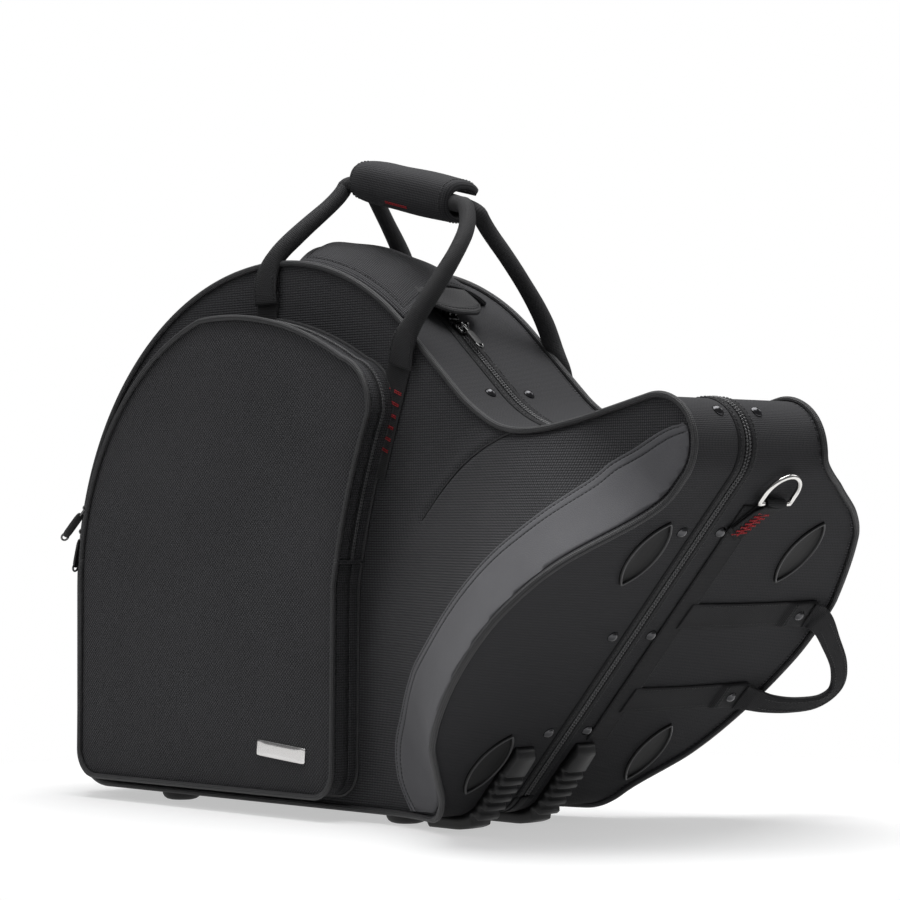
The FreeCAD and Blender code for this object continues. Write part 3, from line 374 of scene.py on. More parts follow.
zip_half, band_wall, hem_dip, hem_w = 4.0, 3.0, 0.8, 4.0
for half, body, label in halves:
    reach = depth(half, outline)[None] - 1.0
    t = np.linspace(0, 1, 26)[:, None]
    y = zip_half + (reach - zip_half) * t
    dip = hem_dip * np.clip(1 - (reach - y) / hem_w, 0, 1) ** 2
    skin = raised(outline - outward * dip[..., None], half["sign"] * y)
    inner = raised(outline - outward * band_wall, half["sign"] * y)[::-4]
    loop = np.concatenate((skin, inner))
    u = np.broadcast_to(ring_len, (len(loop), len(ring_len)))
    v = np.concatenate((loop[..., 1], loop[:, :1, 1]), 1)
    uv = np.stack((u, v), -1)
    make(label + "_band", [grid(loop, np.concatenate((uv, uv[:1])), round_i=True, round_j=True)], band_cloth,
         body, "shell_cloth", label + "_shell")


# The linings: a tray of plush glued over padding in each half. Each one follows the half's own depth and
# ends in a soft rim at the zip.
lining_in, lining_back, lining_gap = 22.0, 4.2, 0.5


def plush(name, dark, light):
    """Short pile: fine noise for the hairs, a slow noise for the brushed patches, and sheen."""
    material, tree = blank(name)
    hairs = noise(tree, 900.0, 3.0)
    shade = mixed(tree, noise(tree, 14.0, 3.0, Distortion=0.8), hairs, 0.7)
    return dress(material, shades(tree, shade, dark, light), hairs, 0.0012, Roughness=0.95,
                 Specular_IOR_Level=0.1, Sheen_Weight=0.5)


lining_plush = plush("lining_plush", (0.010, 0.010, 0.012), (0.040, 0.040, 0.046))
for half, body, label in halves:
    side = half["sign"]
    bay = outline - outward * lining_in
    tray = panel_core + (bay - panel_core) * np.linspace(0, 1, 44)[:, None, None]
    floor_rows = raised(tray, side * (depth(half, tray) - lining_in))
    deep = depth(half, bay) - lining_in
    lip = lining_gap + 2
    wall_rows = raised(bay, side * (lip + (deep - lip) * np.linspace(1, 0, 11)[1:, None]))
    skirt = outline - outward * (band_wall + 0.2)
    t = np.linspace(0.05, 0.95, 7)[:, None, None]
    rim_rows = raised(bay + (skirt - bay) * t, side * (lining_gap + 1.6 * np.abs(2 * t[..., 0] - 1) ** 3))
    outer_deep = depth(half, skirt) - lining_back
    outer_rows = raised(skirt, side * (2 + (outer_deep - 2) * np.linspace(0, 1, 8)[:, None]))
    rear = panel_core + (skirt - panel_core) * np.linspace(1, 0, 20)[1:, None, None]
    rear_rows = raised(rear, side * (depth(half, rear) - lining_back))
    rows = np.concatenate((floor_rows, wall_rows, rim_rows, outer_rows, rear_rows))
    make(label + "_lining_plush", [grid(rows, round_j=True)], lining_plush, body, "plush", label + "_lining")


# Corded piping: a cord in a folded strip of smooth cloth. It is sewn into the joint between each side panel
# and its band, all the way round.
piping_r, piping_off = 2.5, 1.3
y3 = np.array((0.0, 1.0, 0.0))


def unit(v):
    """Vectors made one long."""
    return v / np.maximum(np.linalg.norm(v, axis=-1, keepdims=True), 1e-9)


def along(path, looped=False):
    """The way a path runs at each of its points."""
    if looped:
        return unit(np.roll(path, -1, 0) - np.roll(path, 1, 0))
    return unit(np.gradient(path, axis=0))


def round_turn(count):
    """Angles at even steps once round."""
    return np.linspace(0, 2 * math.pi, count, endpoint=False)


def hose(path, radius, sides, facing, looped=False, flat=1.0):
    """Tube round a path: p + r (cos a * aside + flat sin a * above), where above leans to facing."""
    way = along(path, looped)
    aside = unit(np.cross(way, facing))
    above = np.cross(aside, way)
    a = round_turn(sides)[None, :, None]
    radius = np.broadcast_to(radius, (len(path),))[:, None, None]
    flat = np.broadcast_to(flat, (len(path),))[:, None, None]
    points = path[:, None] + radius * (np.cos(a) * aside[:, None] + flat * np.sin(a) * above[:, None])
    return grid(points, round_i=True, round_j=True) if looped else capped(points)


piping_cloth = woven("piping_cloth", (0.006, 0.006, 0.0065), (0.060, 0.060, 0.063), 0.0015, 0.0003,
                     rough=0.56, gloss=0.45)
for half, body, label in halves:
    path = raised(outline + outward * piping_off, half["sign"] * (depth(half, outline) + piping_off - 1.0))
    make(label + "_piping_cord", [hose(path, piping_r, 10, y3, looped=True)], piping_cloth, body, "piping",
         label + "_piping")


# The zip: each tape is woven, laid on the edge of its half and sewn down, and carries a coil of nylon.
# At the foot the tapes give way to the plain cloth hinge that the lid opens on.
tape_in, tape_out, spine_z = 1.7, 10.5, foot_h + 14.0
coil_pitch, coil_r, coil_y, coil_out = 2.6, 1.5, 1.5, 0.6


def kept(above):
    """Indices of the outline's points above or below the top of the cloth hinge, in the order they run."""
    base_start = sum(len(points) for points, _ in runs[:8])
    order = np.roll(np.arange(len(outline)), -base_start if above else 0)
    height = outline[order][:, 1]
    return order[height >= spine_z] if above else order[height <= spine_z]


def banded(order, sides, section):
    """A section of pairs (y, out) carried along part of the outline."""
    pairs = np.array(section)
    p = outline[order][:, None] + outward[order][:, None] * pairs[None, :, 1:]
    return capped(raised(p, sides * pairs[None, :, 0]))


def even(path, step):
    """A path with its points at even steps, by its own length."""
    span = lengths(path)
    at = np.linspace(0, span[-1], max(2, int(round(span[-1] / step)) + 1))
    return np.stack([np.interp(at, span, path[:, k]) for k in range(path.shape[1])], 1), at


def stitches(path, facing, pitch=3.6, long=2.6, r=0.42):
    """A row of stitches: at each step along a path a short bead, fat in the middle and closed at its ends."""
    centre, _ = even(path, pitch)
    lean, _ = even(np.concatenate((path, np.broadcast_to(facing, path.shape)), 1), pitch)
    way, above = along(centre), unit(lean[:, 3:])
    aside = np.cross(way, above)
    t = np.array((-0.5, -0.34, 0.34, 0.5))[None, :, None, None]
    fat = np.array((0.1, 1.0, 1.0, 0.1))[None, :, None, None] * r
    a = round_turn(5)[None, None, :, None]
    ring = np.cos(a) * aside[:, None, None] + np.sin(a) * above[:, None, None]
    points = centre[:, None, None] + way[:, None, None] * t * long + ring * fat
    count, rows, cols = points.shape[:3]
    _, faces, loops = grid(points[0], round_j=True)
    caps = np.array([(0, 1, 2, 3), (0, 3, 4, 4), (15, 16, 17, 18), (15, 18, 19, 19)])
    faces = np.concatenate((faces, caps))
    loops = np.concatenate((loops, np.zeros((len(caps), 4, 2))))
    faces = (faces[None] + (np.arange(count) * rows * cols)[:, None, None]).reshape(-1, 4)
    return points.reshape(-1, 3), faces, np.tile(loops, (count, 1, 1))


def thread(name, dark, light):
    """Twisted thread: fine slanting bands along each stitch, with painted shade in their grooves, and a soft
    gloss.
    """
    material, tree = blank(name)
    twist = put(tree, "TexWave", put(tree, "TexCoord").outputs["Object"], Scale=420.0,
                bands_direction="DIAGONAL").outputs[1]
    # The colour follows the twist's bands: painted shade in the grooves between them.
    return dress(material, shades(tree, twist, dark, light), twist, 0.0002, Roughness=0.5)


black_thread = thread("black_thread", (0.006, 0.006, 0.007), (0.035, 0.035, 0.038))
red_thread = thread("red_thread", (0.38, 0.006, 0.012), (0.62, 0.02, 0.03))


def ribbed(name, dark, light, pitch, proud, rough=0.6):
    """Woven tape: round ribs across its length, each split by a finer twist of yarn along it, with painted
    shade in the grooves between them.
    """
    material, tree = blank(name)
    part = put(tree, "SeparateXYZ", cloth_uv(tree, pitch)).outputs
    yarn = ridged(tree, sums(tree, "MULTIPLY_ADD", part[0], 0.5, part[1]))
    height = mixed(tree, ridged(tree, part[0]), yarn, 0.6)
    # The colour takes the rib height in part: painted shade between ribs and yarns, mixed with cloudy tone.
    shade = mixed(tree, noise(tree, 22.0, 3.0), height, 0.4)
    return dress(material, shades(tree, shade, dark, light), height, proud, Roughness=rough,
                 Specular_IOR_Level=0.15, Sheen_Weight=0.03)


def moulded(name, dark, light, rough, grain=260.0, proud=0.00012, metal=0.0, gloss=0.5):
    """Moulded or cast surface: fine grain, and patches where handling has polished it."""
    material, tree = blank(name)
    patches = noise(tree, 18.0, Roughness=0.65)
    return dress(material, shades(tree, patches, dark, light), noise(tree, grain), proud, Metallic=metal,
                 Roughness=sums(tree, "MULTIPLY_ADD", patches, 0.16, rough - 0.08), Specular_IOR_Level=gloss)


tape_cloth = ribbed("zip_tape_cloth", (0.004, 0.004, 0.0044), (0.028, 0.028, 0.030), 0.0013, 0.0003)
coil_nylon = moulded("coil_nylon", (0.030, 0.030, 0.031), (0.088, 0.088, 0.092), 0.30)
tape_section = ((tape_in, -0.9), (3.5, -0.8), (3.7, 0.9), (4.6, 1.35), (7.2, 1.2), (9.6, 1.0),
                (tape_out, 0.5), (tape_out, 0.05), (4.1, 0.02), (4.0, -1.7), (tape_in, -1.7))
spine_section = ((1.8, 0.3), (3.0, 0.2), (9.0, 0.9), (tape_out, 0.6), (tape_out, 0.05), (4.1, 0.02),
                 (3.8, -2.4), (1.8, -1.6))
tape_seam_y, tape_seam_out = 8.2, 1.2
upper, lower = kept(True), kept(False)
for half, body, label in halves:
    side = half["sign"]
    make("zip_tape_cloth_" + label, [banded(upper, side, tape_section)], tape_cloth, body, "zip_tape",
         "zip_tape_" + label)
    line, at = even(raised(outline[upper] + outward[upper] * coil_out, side * coil_y), coil_pitch / 4)
    swell = 0.66 + 0.34 * np.cos(2 * math.pi * at / coil_pitch + (0 if side > 0 else math.pi))
    make("zip_coil_" + label, [hose(line, coil_r * swell, 6, y3)], coil_nylon, body, "zip_tape",
         "zip_tape_" + label)
    seam = raised(outline[upper] + outward[upper] * tape_seam_out, side * tape_seam_y)
    make("zip_stitching_" + label, [stitches(seam, raised(outward[upper], 0.0))], black_thread, body,
         "zip_tape")
    make("spine_cloth_" + label, [banded(lower, side, spine_section)], tape_cloth, body, "zip_tape",
         "spine_tape_" + label)
fold_w = 4.2
fold_section = ((-fold_w, 1.1), (0.0, 0.8), (fold_w, 1.1), (fold_w, 0.6), (0.0, 0.4), (-fold_w, 0.6))
hinge_cloth = make("spine_hinge_cloth", [banded(lower, 1, fold_section)], tape_cloth, None, "zip_tape")
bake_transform(hinge_cloth)


# The smooth grey band along the rim of the front flare: brushed cloth, folded under and sewn with two
# rows of stitches on its inner edge, and caught in the piping on its outer edge.
stripe_shares = ((-224.0, 24.0), (-219.0, 46.0), (-211.0, 66.0), (-185.0, 84.0), (-137.0, 88.0),
                 (-79.0, 79.0), (-25.0, 72.0), (24.0, 63.0), (60.0, 56.0), (100.0, 54.0), (116.0, 55.0),
                 (139.0, 46.0), (160.0, 37.0), (170.0, 31.0), (178.0, 25.5))
stripe_top, stripe_low, stripe_turn, stripe_inset, stripe_t = 178.0, -221.0, -120.0, 4.0, 1.5
seam_in, seam_pitch, seam_w, seam_deep = 2.2, 6.0, 0.8, 0.75
heel_s = float((heel_c + face_out * heel_r - rim_mid) @ face_up)


def down_slope(s, d):
    """Points (x, z) at a place up the slope of the end face and in from it."""
    return rim_mid + s[..., None] * face_up - d[..., None] * face_out


def rim_inset(s, inset):
    """How far in from the end face the outline lies at s, drawn in by inset: round the nose, straight, round
    the heel, then along the bottom."""
    nose = nose_r - np.sqrt(np.maximum((nose_r - inset) ** 2 - np.maximum(s - rim_drop, 0) ** 2, 0))
    heel = heel_r - np.sqrt(np.maximum((heel_r - inset) ** 2 - np.minimum(s - heel_s, 0) ** 2, 0))
    bottom = (rim_mid[1] + s * face_up[1] - foot_h - inset) / face_out[1]
    past = s < heel_s + (heel_r - inset) * face_out[1]
    return np.where(s > 0, nose, np.where(past, np.maximum(bottom, heel), heel))


def seated(p, lift, inset):
    """The front panel's surface at points (x, z) that lie an inset from the outline, raised by a lift."""
    roll = edge_roll * np.clip(1 - inset / edge_width, 0, 1) ** 2
    return raised(p, -(depth(front, p) - roll + lift))


s_in = np.linspace(stripe_top, stripe_low, 150)
s_out = np.where(s_in > stripe_turn, s_in, stripe_turn + (s_in - stripe_turn) * 0.78)
inner_edge = down_slope(s_in, eased(stripe_shares, s_in))
outer_edge = down_slope(s_out, rim_inset(s_out, stripe_inset))
wide = np.linalg.norm(outer_edge - inner_edge, axis=1)[:, None]
across = np.concatenate((np.arange(0, 9.6, 0.6), np.linspace(10.5, 80, 16)))[None]
far = np.minimum(across, wide)
p = inner_edge[:, None] + (outer_edge - inner_edge)[:, None] * (far / wide)[..., None]
dents = sum(np.exp(-((far - at) / seam_w) ** 2) for at in (seam_in, seam_in + seam_pitch))
lift = (stripe_t - 0.35 * np.clip(far / 12, 0, 1) - seam_deep * dents) * np.clip(wide / 12, 0.3, 1)
from_rim = stripe_inset + wide - far
rows = np.concatenate((seated(p, lift, from_rim), seated(p, 0.1, from_rim)[:, ::-1]), 1)


def brushed(name, dark, light, rough=0.75):
    """Smooth brushed cloth: a very fine nap with slow cloudy shading."""
    material, tree = blank(name)
    nap = noise(tree, 1400.0, 2.0)
    shade = mixed(tree, noise(tree, 16.0, 5.0, Roughness=0.6), nap, 0.6)
    return dress(material, shades(tree, shade, dark, light), nap, 0.0003, Roughness=rough,
                 Specular_IOR_Level=0.15, Sheen_Weight=0.08)


stripe_cloth = brushed("grey_band_cloth", (0.085, 0.085, 0.090), (0.165, 0.165, 0.175))
make("rim_band", [capped(rows)], stripe_cloth, "lid", "stripe", "rim_stripe")
threads, wide = [], wide[:, 0]
for step in (seam_in, seam_in + seam_pitch):
    reach = np.minimum(step, wide)
    line = inner_edge + (outer_edge - inner_edge) * (reach / wide)[:, None]
    seam = seated(line, 0.95, stripe_inset + wide - reach)[wide > 14]
    threads.append(stitches(seam, (0.2, -1, 0.2), 3.4, 2.4, 0.36))
t = np.linspace(0, 1, 60)[:, None]
dart = dart_top + dart_way * t + dart_side * dart_bow * np.sin(math.pi * t)
threads.append(hose(seated(dart, -1.3, 99.0), 0.75, 6, y3))
make("front_seam_stitching", threads, black_thread, "lid", "piping")


# Trim of the end face, sewn or riveted through the cloth: the binding strip beside the zip, and the two
# straps of the end handle, which are folded double where the rivets hold the loop.
binding_in, binding_w, binding_t, binding_top = 26.3, 24.0, 1.6, 124.0
skid_rise = 62.0
skid_top = heel_s + skid_rise
strap_w, strap_t, fold_len, loop_t = 25.0, 2.4, 30.0, 5.0
loop_ends = ((14.0, 184.0), (-73.0, 170.0))
up3, out3, mid3 = (raised(v, 0.0) for v in (face_up, face_out, rim_mid))


def on_face(s, y, n):
    """Points on the end face: s up the slope, y across, n outward."""
    s, y, n = (np.asarray(v, float)[..., None] for v in (s, y, n))
    return mid3 + up3 * s + y3 * y + out3 * n


def pressed(x, power):
    """A cosine or sine raised to a power with its sign kept, which squares a round section."""
    return np.sign(x) * np.abs(x) ** power


def ribbon(path, aside, width, thick, sides=16):
    """Flat band along a path: a section with round edges, width |cos| to the quarter by thick |sin| to the
    half, set square to the path with its width along aside."""
    way = along(path)
    aside = np.broadcast_to(aside, path.shape)
    aside = unit(aside - np.sum(aside * way, 1)[:, None] * way)
    above = np.cross(aside, way)
    a = (round_turn(sides) + math.pi / sides)[None, :, None]
    width, thick = (np.broadcast_to(v, (len(path),))[:, None, None] / 2 for v in (width, thick))
    return capped(path[:, None] + aside[:, None] * width * pressed(np.cos(a), 0.25)
                  + above[:, None] * thick * pressed(np.sin(a), 0.5))


def through(points, count):
    """Catmull-Rom curve through points, then set at even steps."""
    p = np.array(points, float)
    p = np.concatenate((2 * p[:1] - p[1:2], p, 2 * p[-1:] - p[-2:-1]))
    t = np.linspace(0, len(points) - 1, 12 * len(points))
    i = np.minimum(t.astype(int), len(points) - 2)
    f = (t - i)[:, None]
    a, b, c, d = p[i], p[i + 1], p[i + 2], p[i + 3]
    fine = b + f * ((c - a) / 2 + f * (a - 2.5 * b + 2 * c - d / 2 + f * (1.5 * b - a / 2 - 1.5 * c + d / 2)))
    return even(fine, lengths(fine)[-1] / (count - 1))[0]


end_webbing = ribbed("end_strap_webbing", (0.005, 0.005, 0.0055), (0.032, 0.032, 0.034), 0.0014, 0.0004,
                     rough=0.7)
s = np.linspace(skid_top + 1, binding_top, 70)
strip = on_face(s, binding_in + binding_w / 2, binding_t / 2 + 0.1)
make("binding_band", [ribbon(strip, y3, binding_w, binding_t)], end_webbing, "back_half", "webbing",
     "binding_strip")
straps, seams = [], []
for s, y in loop_ends:
    far = y + loop_t
    path_y = np.linspace(binding_in + binding_w - 8, far, 60)
    fold = 1 / (1 + np.exp(-(path_y - (far - fold_len)) / 0.8))
    thick = strap_t * (1 + fold)
    droop = 1.2 * np.sin(math.pi * (path_y - path_y[0]) / (path_y[-1] - path_y[0]))
    straps.append(ribbon(on_face(s - droop, path_y, thick / 2 + 0.15), up3, strap_w, thick))
    for step in (-fold_len + 3, -fold_len + 6):
        line = on_face(np.linspace(s - 10, s + 10, 8), far + step, 2 * strap_t + 0.2)
        seams.append(stitches(line, out3, 3.0, 2.2, 0.38))
    for edge in (-9.8, 9.8):
        run_y = np.linspace(binding_in + binding_w + 4, far - fold_len - 2, 8)
        line = on_face(s + edge, run_y, strap_t + 0.1)
        seams.append(stitches(line, out3, 3.4, 2.4, 0.3))
make("end_strap_bands", straps, end_webbing, "back_half", "webbing", "end_handle_straps")
for edge in (binding_in + 2.2, binding_in + binding_w - 2.2):
    line = on_face(np.linspace(skid_top + 3, binding_top - 2, 40), edge, binding_t + 0.1)
    seams.append(stitches(line, out3, 3.6, 2.5, 0.32))
make("end_trim_stitching", seams, black_thread, "back_half", "webbing")

# The end handle's loop: webbing folded lengthwise and sewn along both edges. It is held by the two
# folded straps and the rivets in them, and droops between them.
loop_w = 15.0
loop_path = through(((14.5, 184, 5.9), (14, 192, 7.4), (7, 205, 10), (-7, 222, 13), (-30, 247, 18),
                     (-52, 259, 21), (-67, 249, 21), (-74, 226, 17), (-76, 202, 12), (-74, 182, 8.0),
                     (-73, 170, 5.9)), 120)
loop_line = on_face(*loop_path.T)
from_mid = np.abs(np.linspace(-1, 1, 120))
wide = loop_w + 9.5 * from_mid ** 3
thick = loop_t * 0.8 * np.clip((1.0 - from_mid) / 0.12, 0.15, 1)
lean = unit(np.cross(loop_line - np.roll(loop_line, 1, 0), out3))
lean[0] = lean[1]
make("end_loop_band", [ribbon(loop_line, lean, wide, thick)], end_webbing, "end_handle", "webbing",
     "end_handle_loop")
seams = []
for edge in (-4.8, 4.8):
    line = loop_line[14:-14] + lean[14:-14] * edge + out3 * loop_t * 0.42
    seams.append(stitches(line, out3, 3.4, 2.4, 0.34))
make("end_loop_stitching", seams, black_thread, "end_handle", "webbing")

# The ring: nickel-plated round wire bent to a D, held in a webbing tab that is folded over its bar and
# sewn down with a red zigzag.
ring_s, ring_y, ring_bar, ring_wire, ring_reach = 130.0, 51.0, 34.0, 2.0, 9.0
tab_len, tab_w, tab_wall, tab_slant, ring_n = 34.0, 25.0, 1.8, 0.62, 5.7
half = ring_bar / 2
a = np.linspace(0, math.pi, 30)
bow_s, bow_y = ring_s + ring_reach + half * np.sin(a), ring_y + half * np.cos(a)
bar_y = np.linspace(ring_y - half, ring_y + half, 14)
ends = np.linspace(0, ring_reach, 6)[1:-1]
ring_line = np.concatenate((on_face(bow_s, bow_y, ring_n),
                            on_face(ring_s + ends[::-1], ring_y - half, ring_n),
                            on_face(np.full(14, ring_s), bar_y, ring_n),
                            on_face(ring_s + ends, ring_y + half, ring_n)))
nickel = moulded("bright_nickel", (0.62, 0.61, 0.59), (0.78, 0.77, 0.75), 0.16, metal=1.0, proud=0.00004)
make("d_ring_wire", [hose(ring_line, ring_wire, 14, out3, looped=True)], nickel, "d_ring", "nickel", "d_ring")
wrap_a = np.radians(np.linspace(-90, 130, 14))
tab_s = np.concatenate((np.linspace(ring_s - tab_len, ring_s - 5, 10), ring_s + 3.2 * np.cos(wrap_a),
                        (ring_s - 8, ring_s - 14, ring_s - 22, ring_s - 31)))
tab_n = np.concatenate((np.full(10, binding_t + 0.95), ring_n + 3.2 * np.sin(wrap_a), (5.9, 4.6, 4.35, 4.3)))
aslant = ring_y - tab_slant * np.maximum(ring_s - 4.0 - tab_s, 0)
tab_line = on_face(tab_s, aslant, tab_n)
make("ring_tab_band", [ribbon(tab_line, y3, tab_w * 0.84, tab_wall * 0.9)], end_webbing, "back_half",
     "webbing", "ring_tab")
zig = np.arange(15)
zag_s = ring_s - 6 - 1.75 * zig
zag = on_face(zag_s, ring_y - tab_slant * (ring_s - 4 - zag_s) + 6.5 * (zig % 2 * 2 - 1), 6.2 - 0.05 * zig)
far_s = np.linspace(ring_s - 31, ring_s - 6, 10)
row = on_face(far_s, ring_y - tab_slant * (ring_s - 4 - far_s), 5.6)
make("ring_tab_stitching", [stitches(zag, out3, 2.4, 2.3, 0.5), stitches(row, out3, 2.4, 2.2, 0.5)],
     red_thread, "back_half", "webbing")


def turned(at, out, profile, sides=22):
    """Surface of revolution: pairs (radius, height) turned round an axis that leaves a point along out."""
    out = unit(np.asarray(out, float))
    aside = unit(np.cross(out, (0.31, 0.62, 0.72)))
    other = np.cross(out, aside)
    a = round_turn(sides)[None, :, None]
    r, h = np.array(profile, float).T[:, :, None, None]
    return capped(np.asarray(at, float) + out * h + r * (np.cos(a) * aside + np.sin(a) * other))


# Rivets: domed heads on thin flanges, turned in steel and plated with black nickel. Each one goes through
# the cloth and the foam and is closed inside.
rivet_off, rivet_gap, rivet_r = 21.0, 6.0, 5.0
rivet_profile = ((4.6, -0.2), (4.7, 0.5), (4.2, 0.9), (3.7, 1.5), (3.0, 2.2), (2.0, 2.8), (0.9, 3.1))
black_nickel = moulded("black_nickel", (0.045, 0.045, 0.047), (0.11, 0.11, 0.115), 0.24, metal=1.0,
                       proud=0.00005)
slope_out = polar(90 - slope_tilt, 1)
saddle_out = -polar(256, 1)
nose_out = polar(45, 1)
for half, body, label in halves:
    y = half["sign"] * rivet_off
    seats = [(raised(slope_end, y), slope_out), (raised(saddle_c - saddle_out * saddle_r, y), saddle_out),
             (raised(nose_c + nose_out * nose_r, y), nose_out)]
    heads = [turned(at, raised(out, 0.0), rivet_profile) for at, out in seats]
    heads += [turned(on_face(s, y, 0), out3, rivet_profile)
              for s in (0.52 * rim_half, -0.03 * rim_half, skid_top + rivet_gap + rivet_r)]
    if half is back:
        heads += [turned(on_face(s, y - 2 * rivet_r, 2 * strap_t), out3, rivet_profile) for s, y in loop_ends]
    make("rivet_heads_" + label, heads, black_nickel, body, "nickel", "rivets_" + label)

# Leaf-shaped bumpers: pointed ovals moulded in hard plastic, with a raised border and a dished middle. They
# are fixed to the end face, where the case rubs when it is laid down.
leaf_len, leaf_w, leaf_t, leaf_turn = 62.0, 30.0, 1.6, math.radians(10.0)
leaf_dish = ((0.0, 0.5), (0.5, 0.6), (0.78, 0.9), (0.86, 1.4), (0.92, 1.7), (0.97, 1.2), (1.0, 0.0))
black_plastic = moulded("moulded_plastic", (0.006, 0.006, 0.0065), (0.018, 0.018, 0.019), 0.5, grain=700.0,
                        proud=0.0001)
leaf_plastic = moulded("bumper_plastic", (0.004, 0.004, 0.0042), (0.011, 0.011, 0.0115), 0.6, grain=700.0,
                       proud=0.0001, gloss=0.22)
# The rims are a paler copy of the bumpers' plastic, on what is one moulding: a painted highlight where the
# raised border catches the light.
rim_highlight_plastic = moulded("bumper_rim_painted_highlight", (0.024, 0.024, 0.025), (0.052, 0.052, 0.054), 0.36, proud=0.0001)
leaf_rim_r = 0.95
leaves = {"front": ((77.0, -46.0), (-134.0, -66.0)), "back": ((77.0, 127.0), (-134.0, 111.0))}
arc_r = (leaf_len ** 2 + leaf_w ** 2) / (4 * leaf_w)
for half, body, label in halves:
    shells, rims = [], []
    for s, y in leaves[label]:
        u = np.linspace(-1, 1, 49)[None]
        v = np.sin(np.linspace(-1, 1, 61) * math.pi / 2)[:, None]
        l = leaf_len / 2 * np.sin(u * math.pi / 2)
        w = (np.sqrt(arc_r ** 2 - l ** 2) - (arc_r - leaf_w / 2)) * v
        rim = np.interp(np.abs(v), *np.array(leaf_dish).T)
        to_tip = np.abs(l) / (leaf_len / 2)
        end = np.clip((to_tip - 0.86) / 0.1, 0, 1)
        full = leaf_t * np.sqrt(np.clip(1 - np.abs(v) ** 6, 0, 1))
        tall = rim + (full - rim) * end ** 2 * (3 - 2 * end)
        tall = tall * np.clip((1 - to_tip) / 0.06, 0, 1) ** 0.5
        up = l * math.cos(leaf_turn) - w * math.sin(leaf_turn)
        across_y = l * math.sin(leaf_turn) + w * math.cos(leaf_turn)
        shells.append(grid(np.concatenate((on_face(s + up, y + across_y, tall),
                                           on_face(s + up, y + across_y, -0.3)[::-1])), round_i=True))
        round_up, round_y = (np.concatenate((k[0, 2:-2], k[-1, 2:-2][::-1])) for k in (up, across_y))
        ring = on_face(s + 0.96 * round_up, y + 0.96 * round_y, 1.7)
        rims.append(hose(ring, leaf_rim_r, 8, out3, looped=True))
    make("leaf_bumpers_" + label, shells, leaf_plastic, body, "plastic", "bumpers_" + label)
    make("leaf_rims_" + label, rims, rim_highlight_plastic, body, "plastic")

# Skids: runners moulded in black plastic that wrap the heel of each half, with a smooth pad at the top and
# ribs below it. They are glued and riveted over the cloth.
skid_w, skid_run, rib_pitch, pad_len = 22.0, 34.0, 9.0, 25.0
for half, body, label, y in ((front, "lid", "front", -38.0), (back, "back_half", "back", 28.0)):
    s, d = up_slope(outline)
    wrap = (s < skid_top) & (outline[:, 0] > heel_c[0] - skid_run) & (np.abs(d) < 90) & (outward[:, 1] < 0)
    both, at = even(np.concatenate((outline[wrap], outward[wrap]), 1), 0.9)
    past = at - pad_len
    ribs = 10.6 - 5.0 * np.exp(-(((past + rib_pitch / 2) % rib_pitch - rib_pitch / 2) / 2.1) ** 4)
    tall = np.where((past > -1.5) & (past < 5.4 * rib_pitch), ribs, np.where(past < 0, 9.2, 10.8))
    tall = tall * np.clip(at / 5, 0.15, 1) ** 0.5 * np.clip((at[-1] - at) / 3, 0.3, 1) ** 0.5
    waist = 1 - 0.16 * np.clip(1 - at / pad_len, 0, 1)
    section = np.array(((-1, 0), (-1, 0.45), (-0.98, 0.8), (-0.86, 1), (0, 1.02), (0.86, 1), (0.98, 0.8),
                        (1, 0.45), (1, 0)))
    out = both[:, None, 2:] * (section[None, :, 1:] * tall[:, None, None])
    rows = raised(both[:, None, :2] + out, y + skid_w / 2 * section[None, :, 0] * waist[:, None])
    make("ribbed_skid_" + label, [capped(rows)], black_plastic, body, "plastic", "skid_" + label)

# Feet: round rubber bosses, two under each half, moulded with a round edge at the floor and a hollow for the
# screw that holds them to the base.
foot_profile = ((3.2, 3.4), (3.6, 0.9), (5.5, 0.15), (9.5, 0.0), (12.6, 0.8), (14.8, 2.4), (16.1, 4.8),
                (16.5, 8.4), (16.0, 11.15))
rubber = moulded("foot_rubber", (0.008, 0.008, 0.008), (0.022, 0.022, 0.022), 0.62, grain=500.0, proud=0.0003)
foot_x = (corner_c[0] + 76.0, heel_c[0] - 65.0)
for body, label, y in (("lid", "front", -38.0), ("back_half", "back", 60.0)):
    feet = [turned((x, y, 0.0), (0, 0, 1), foot_profile, sides=40) for x in foot_x]
    make("round_feet_" + label, feet, rubber, body, "rubber", "feet_" + label)


# The pocket on the front: a slanted side wall sewn to the panel, a padded front edged with piping, and a
# zip round the upper part. Its front is one cloth that folds at a line below the zip's two ends.
pocket_w, pocket_h, pocket_left, pocket_low = 366.0, 379.0, -366.0, 20.0
pocket_depth, pocket_wall, pocket_panel, pocket_seam, fold_z = 28.0, 3.0, 4.0, 12.0, 205.0
pocket_shares = ((0.055, 0.0, -90), (0.016, 0.016, -135), (0.0, 0.053, 180), (0.005, 0.396, 180),
                 (0.098, 0.74, 150), (0.44, 0.997, 97), (0.686, 0.984, 80), (0.913, 0.902, 60),
                 (0.976, 0.86, 35), (0.995, 0.79, 0), (0.93, 0.62, -15), (0.885, 0.435, -5),
                 (0.88, 0.058, 0), (0.863, 0.016, -45), (0.825, 0.0, -90))
front_y = -front["base"]


def centre(a, b, c):
    """Middle of the circle through three points."""
    return np.linalg.solve(2 * np.array((b - a, c - a)), (b @ b - a @ a, c @ c - a @ a))


def arc_through(a, b, c, count):
    """Points on the circle that runs from a through b to c."""
    o = centre(a, b, c)
    start, middle, end = (math.atan2(*(p - o)[::-1]) for p in (a, b, c))
    sweep = (end - start) % (2 * math.pi)
    if (middle - start) % (2 * math.pi) > sweep:
        sweep -= 2 * math.pi
    turns = start + sweep * np.linspace(0, 1, count, endpoint=False)
    return o + np.linalg.norm(a - o) * np.stack((np.cos(turns), np.sin(turns)), 1)


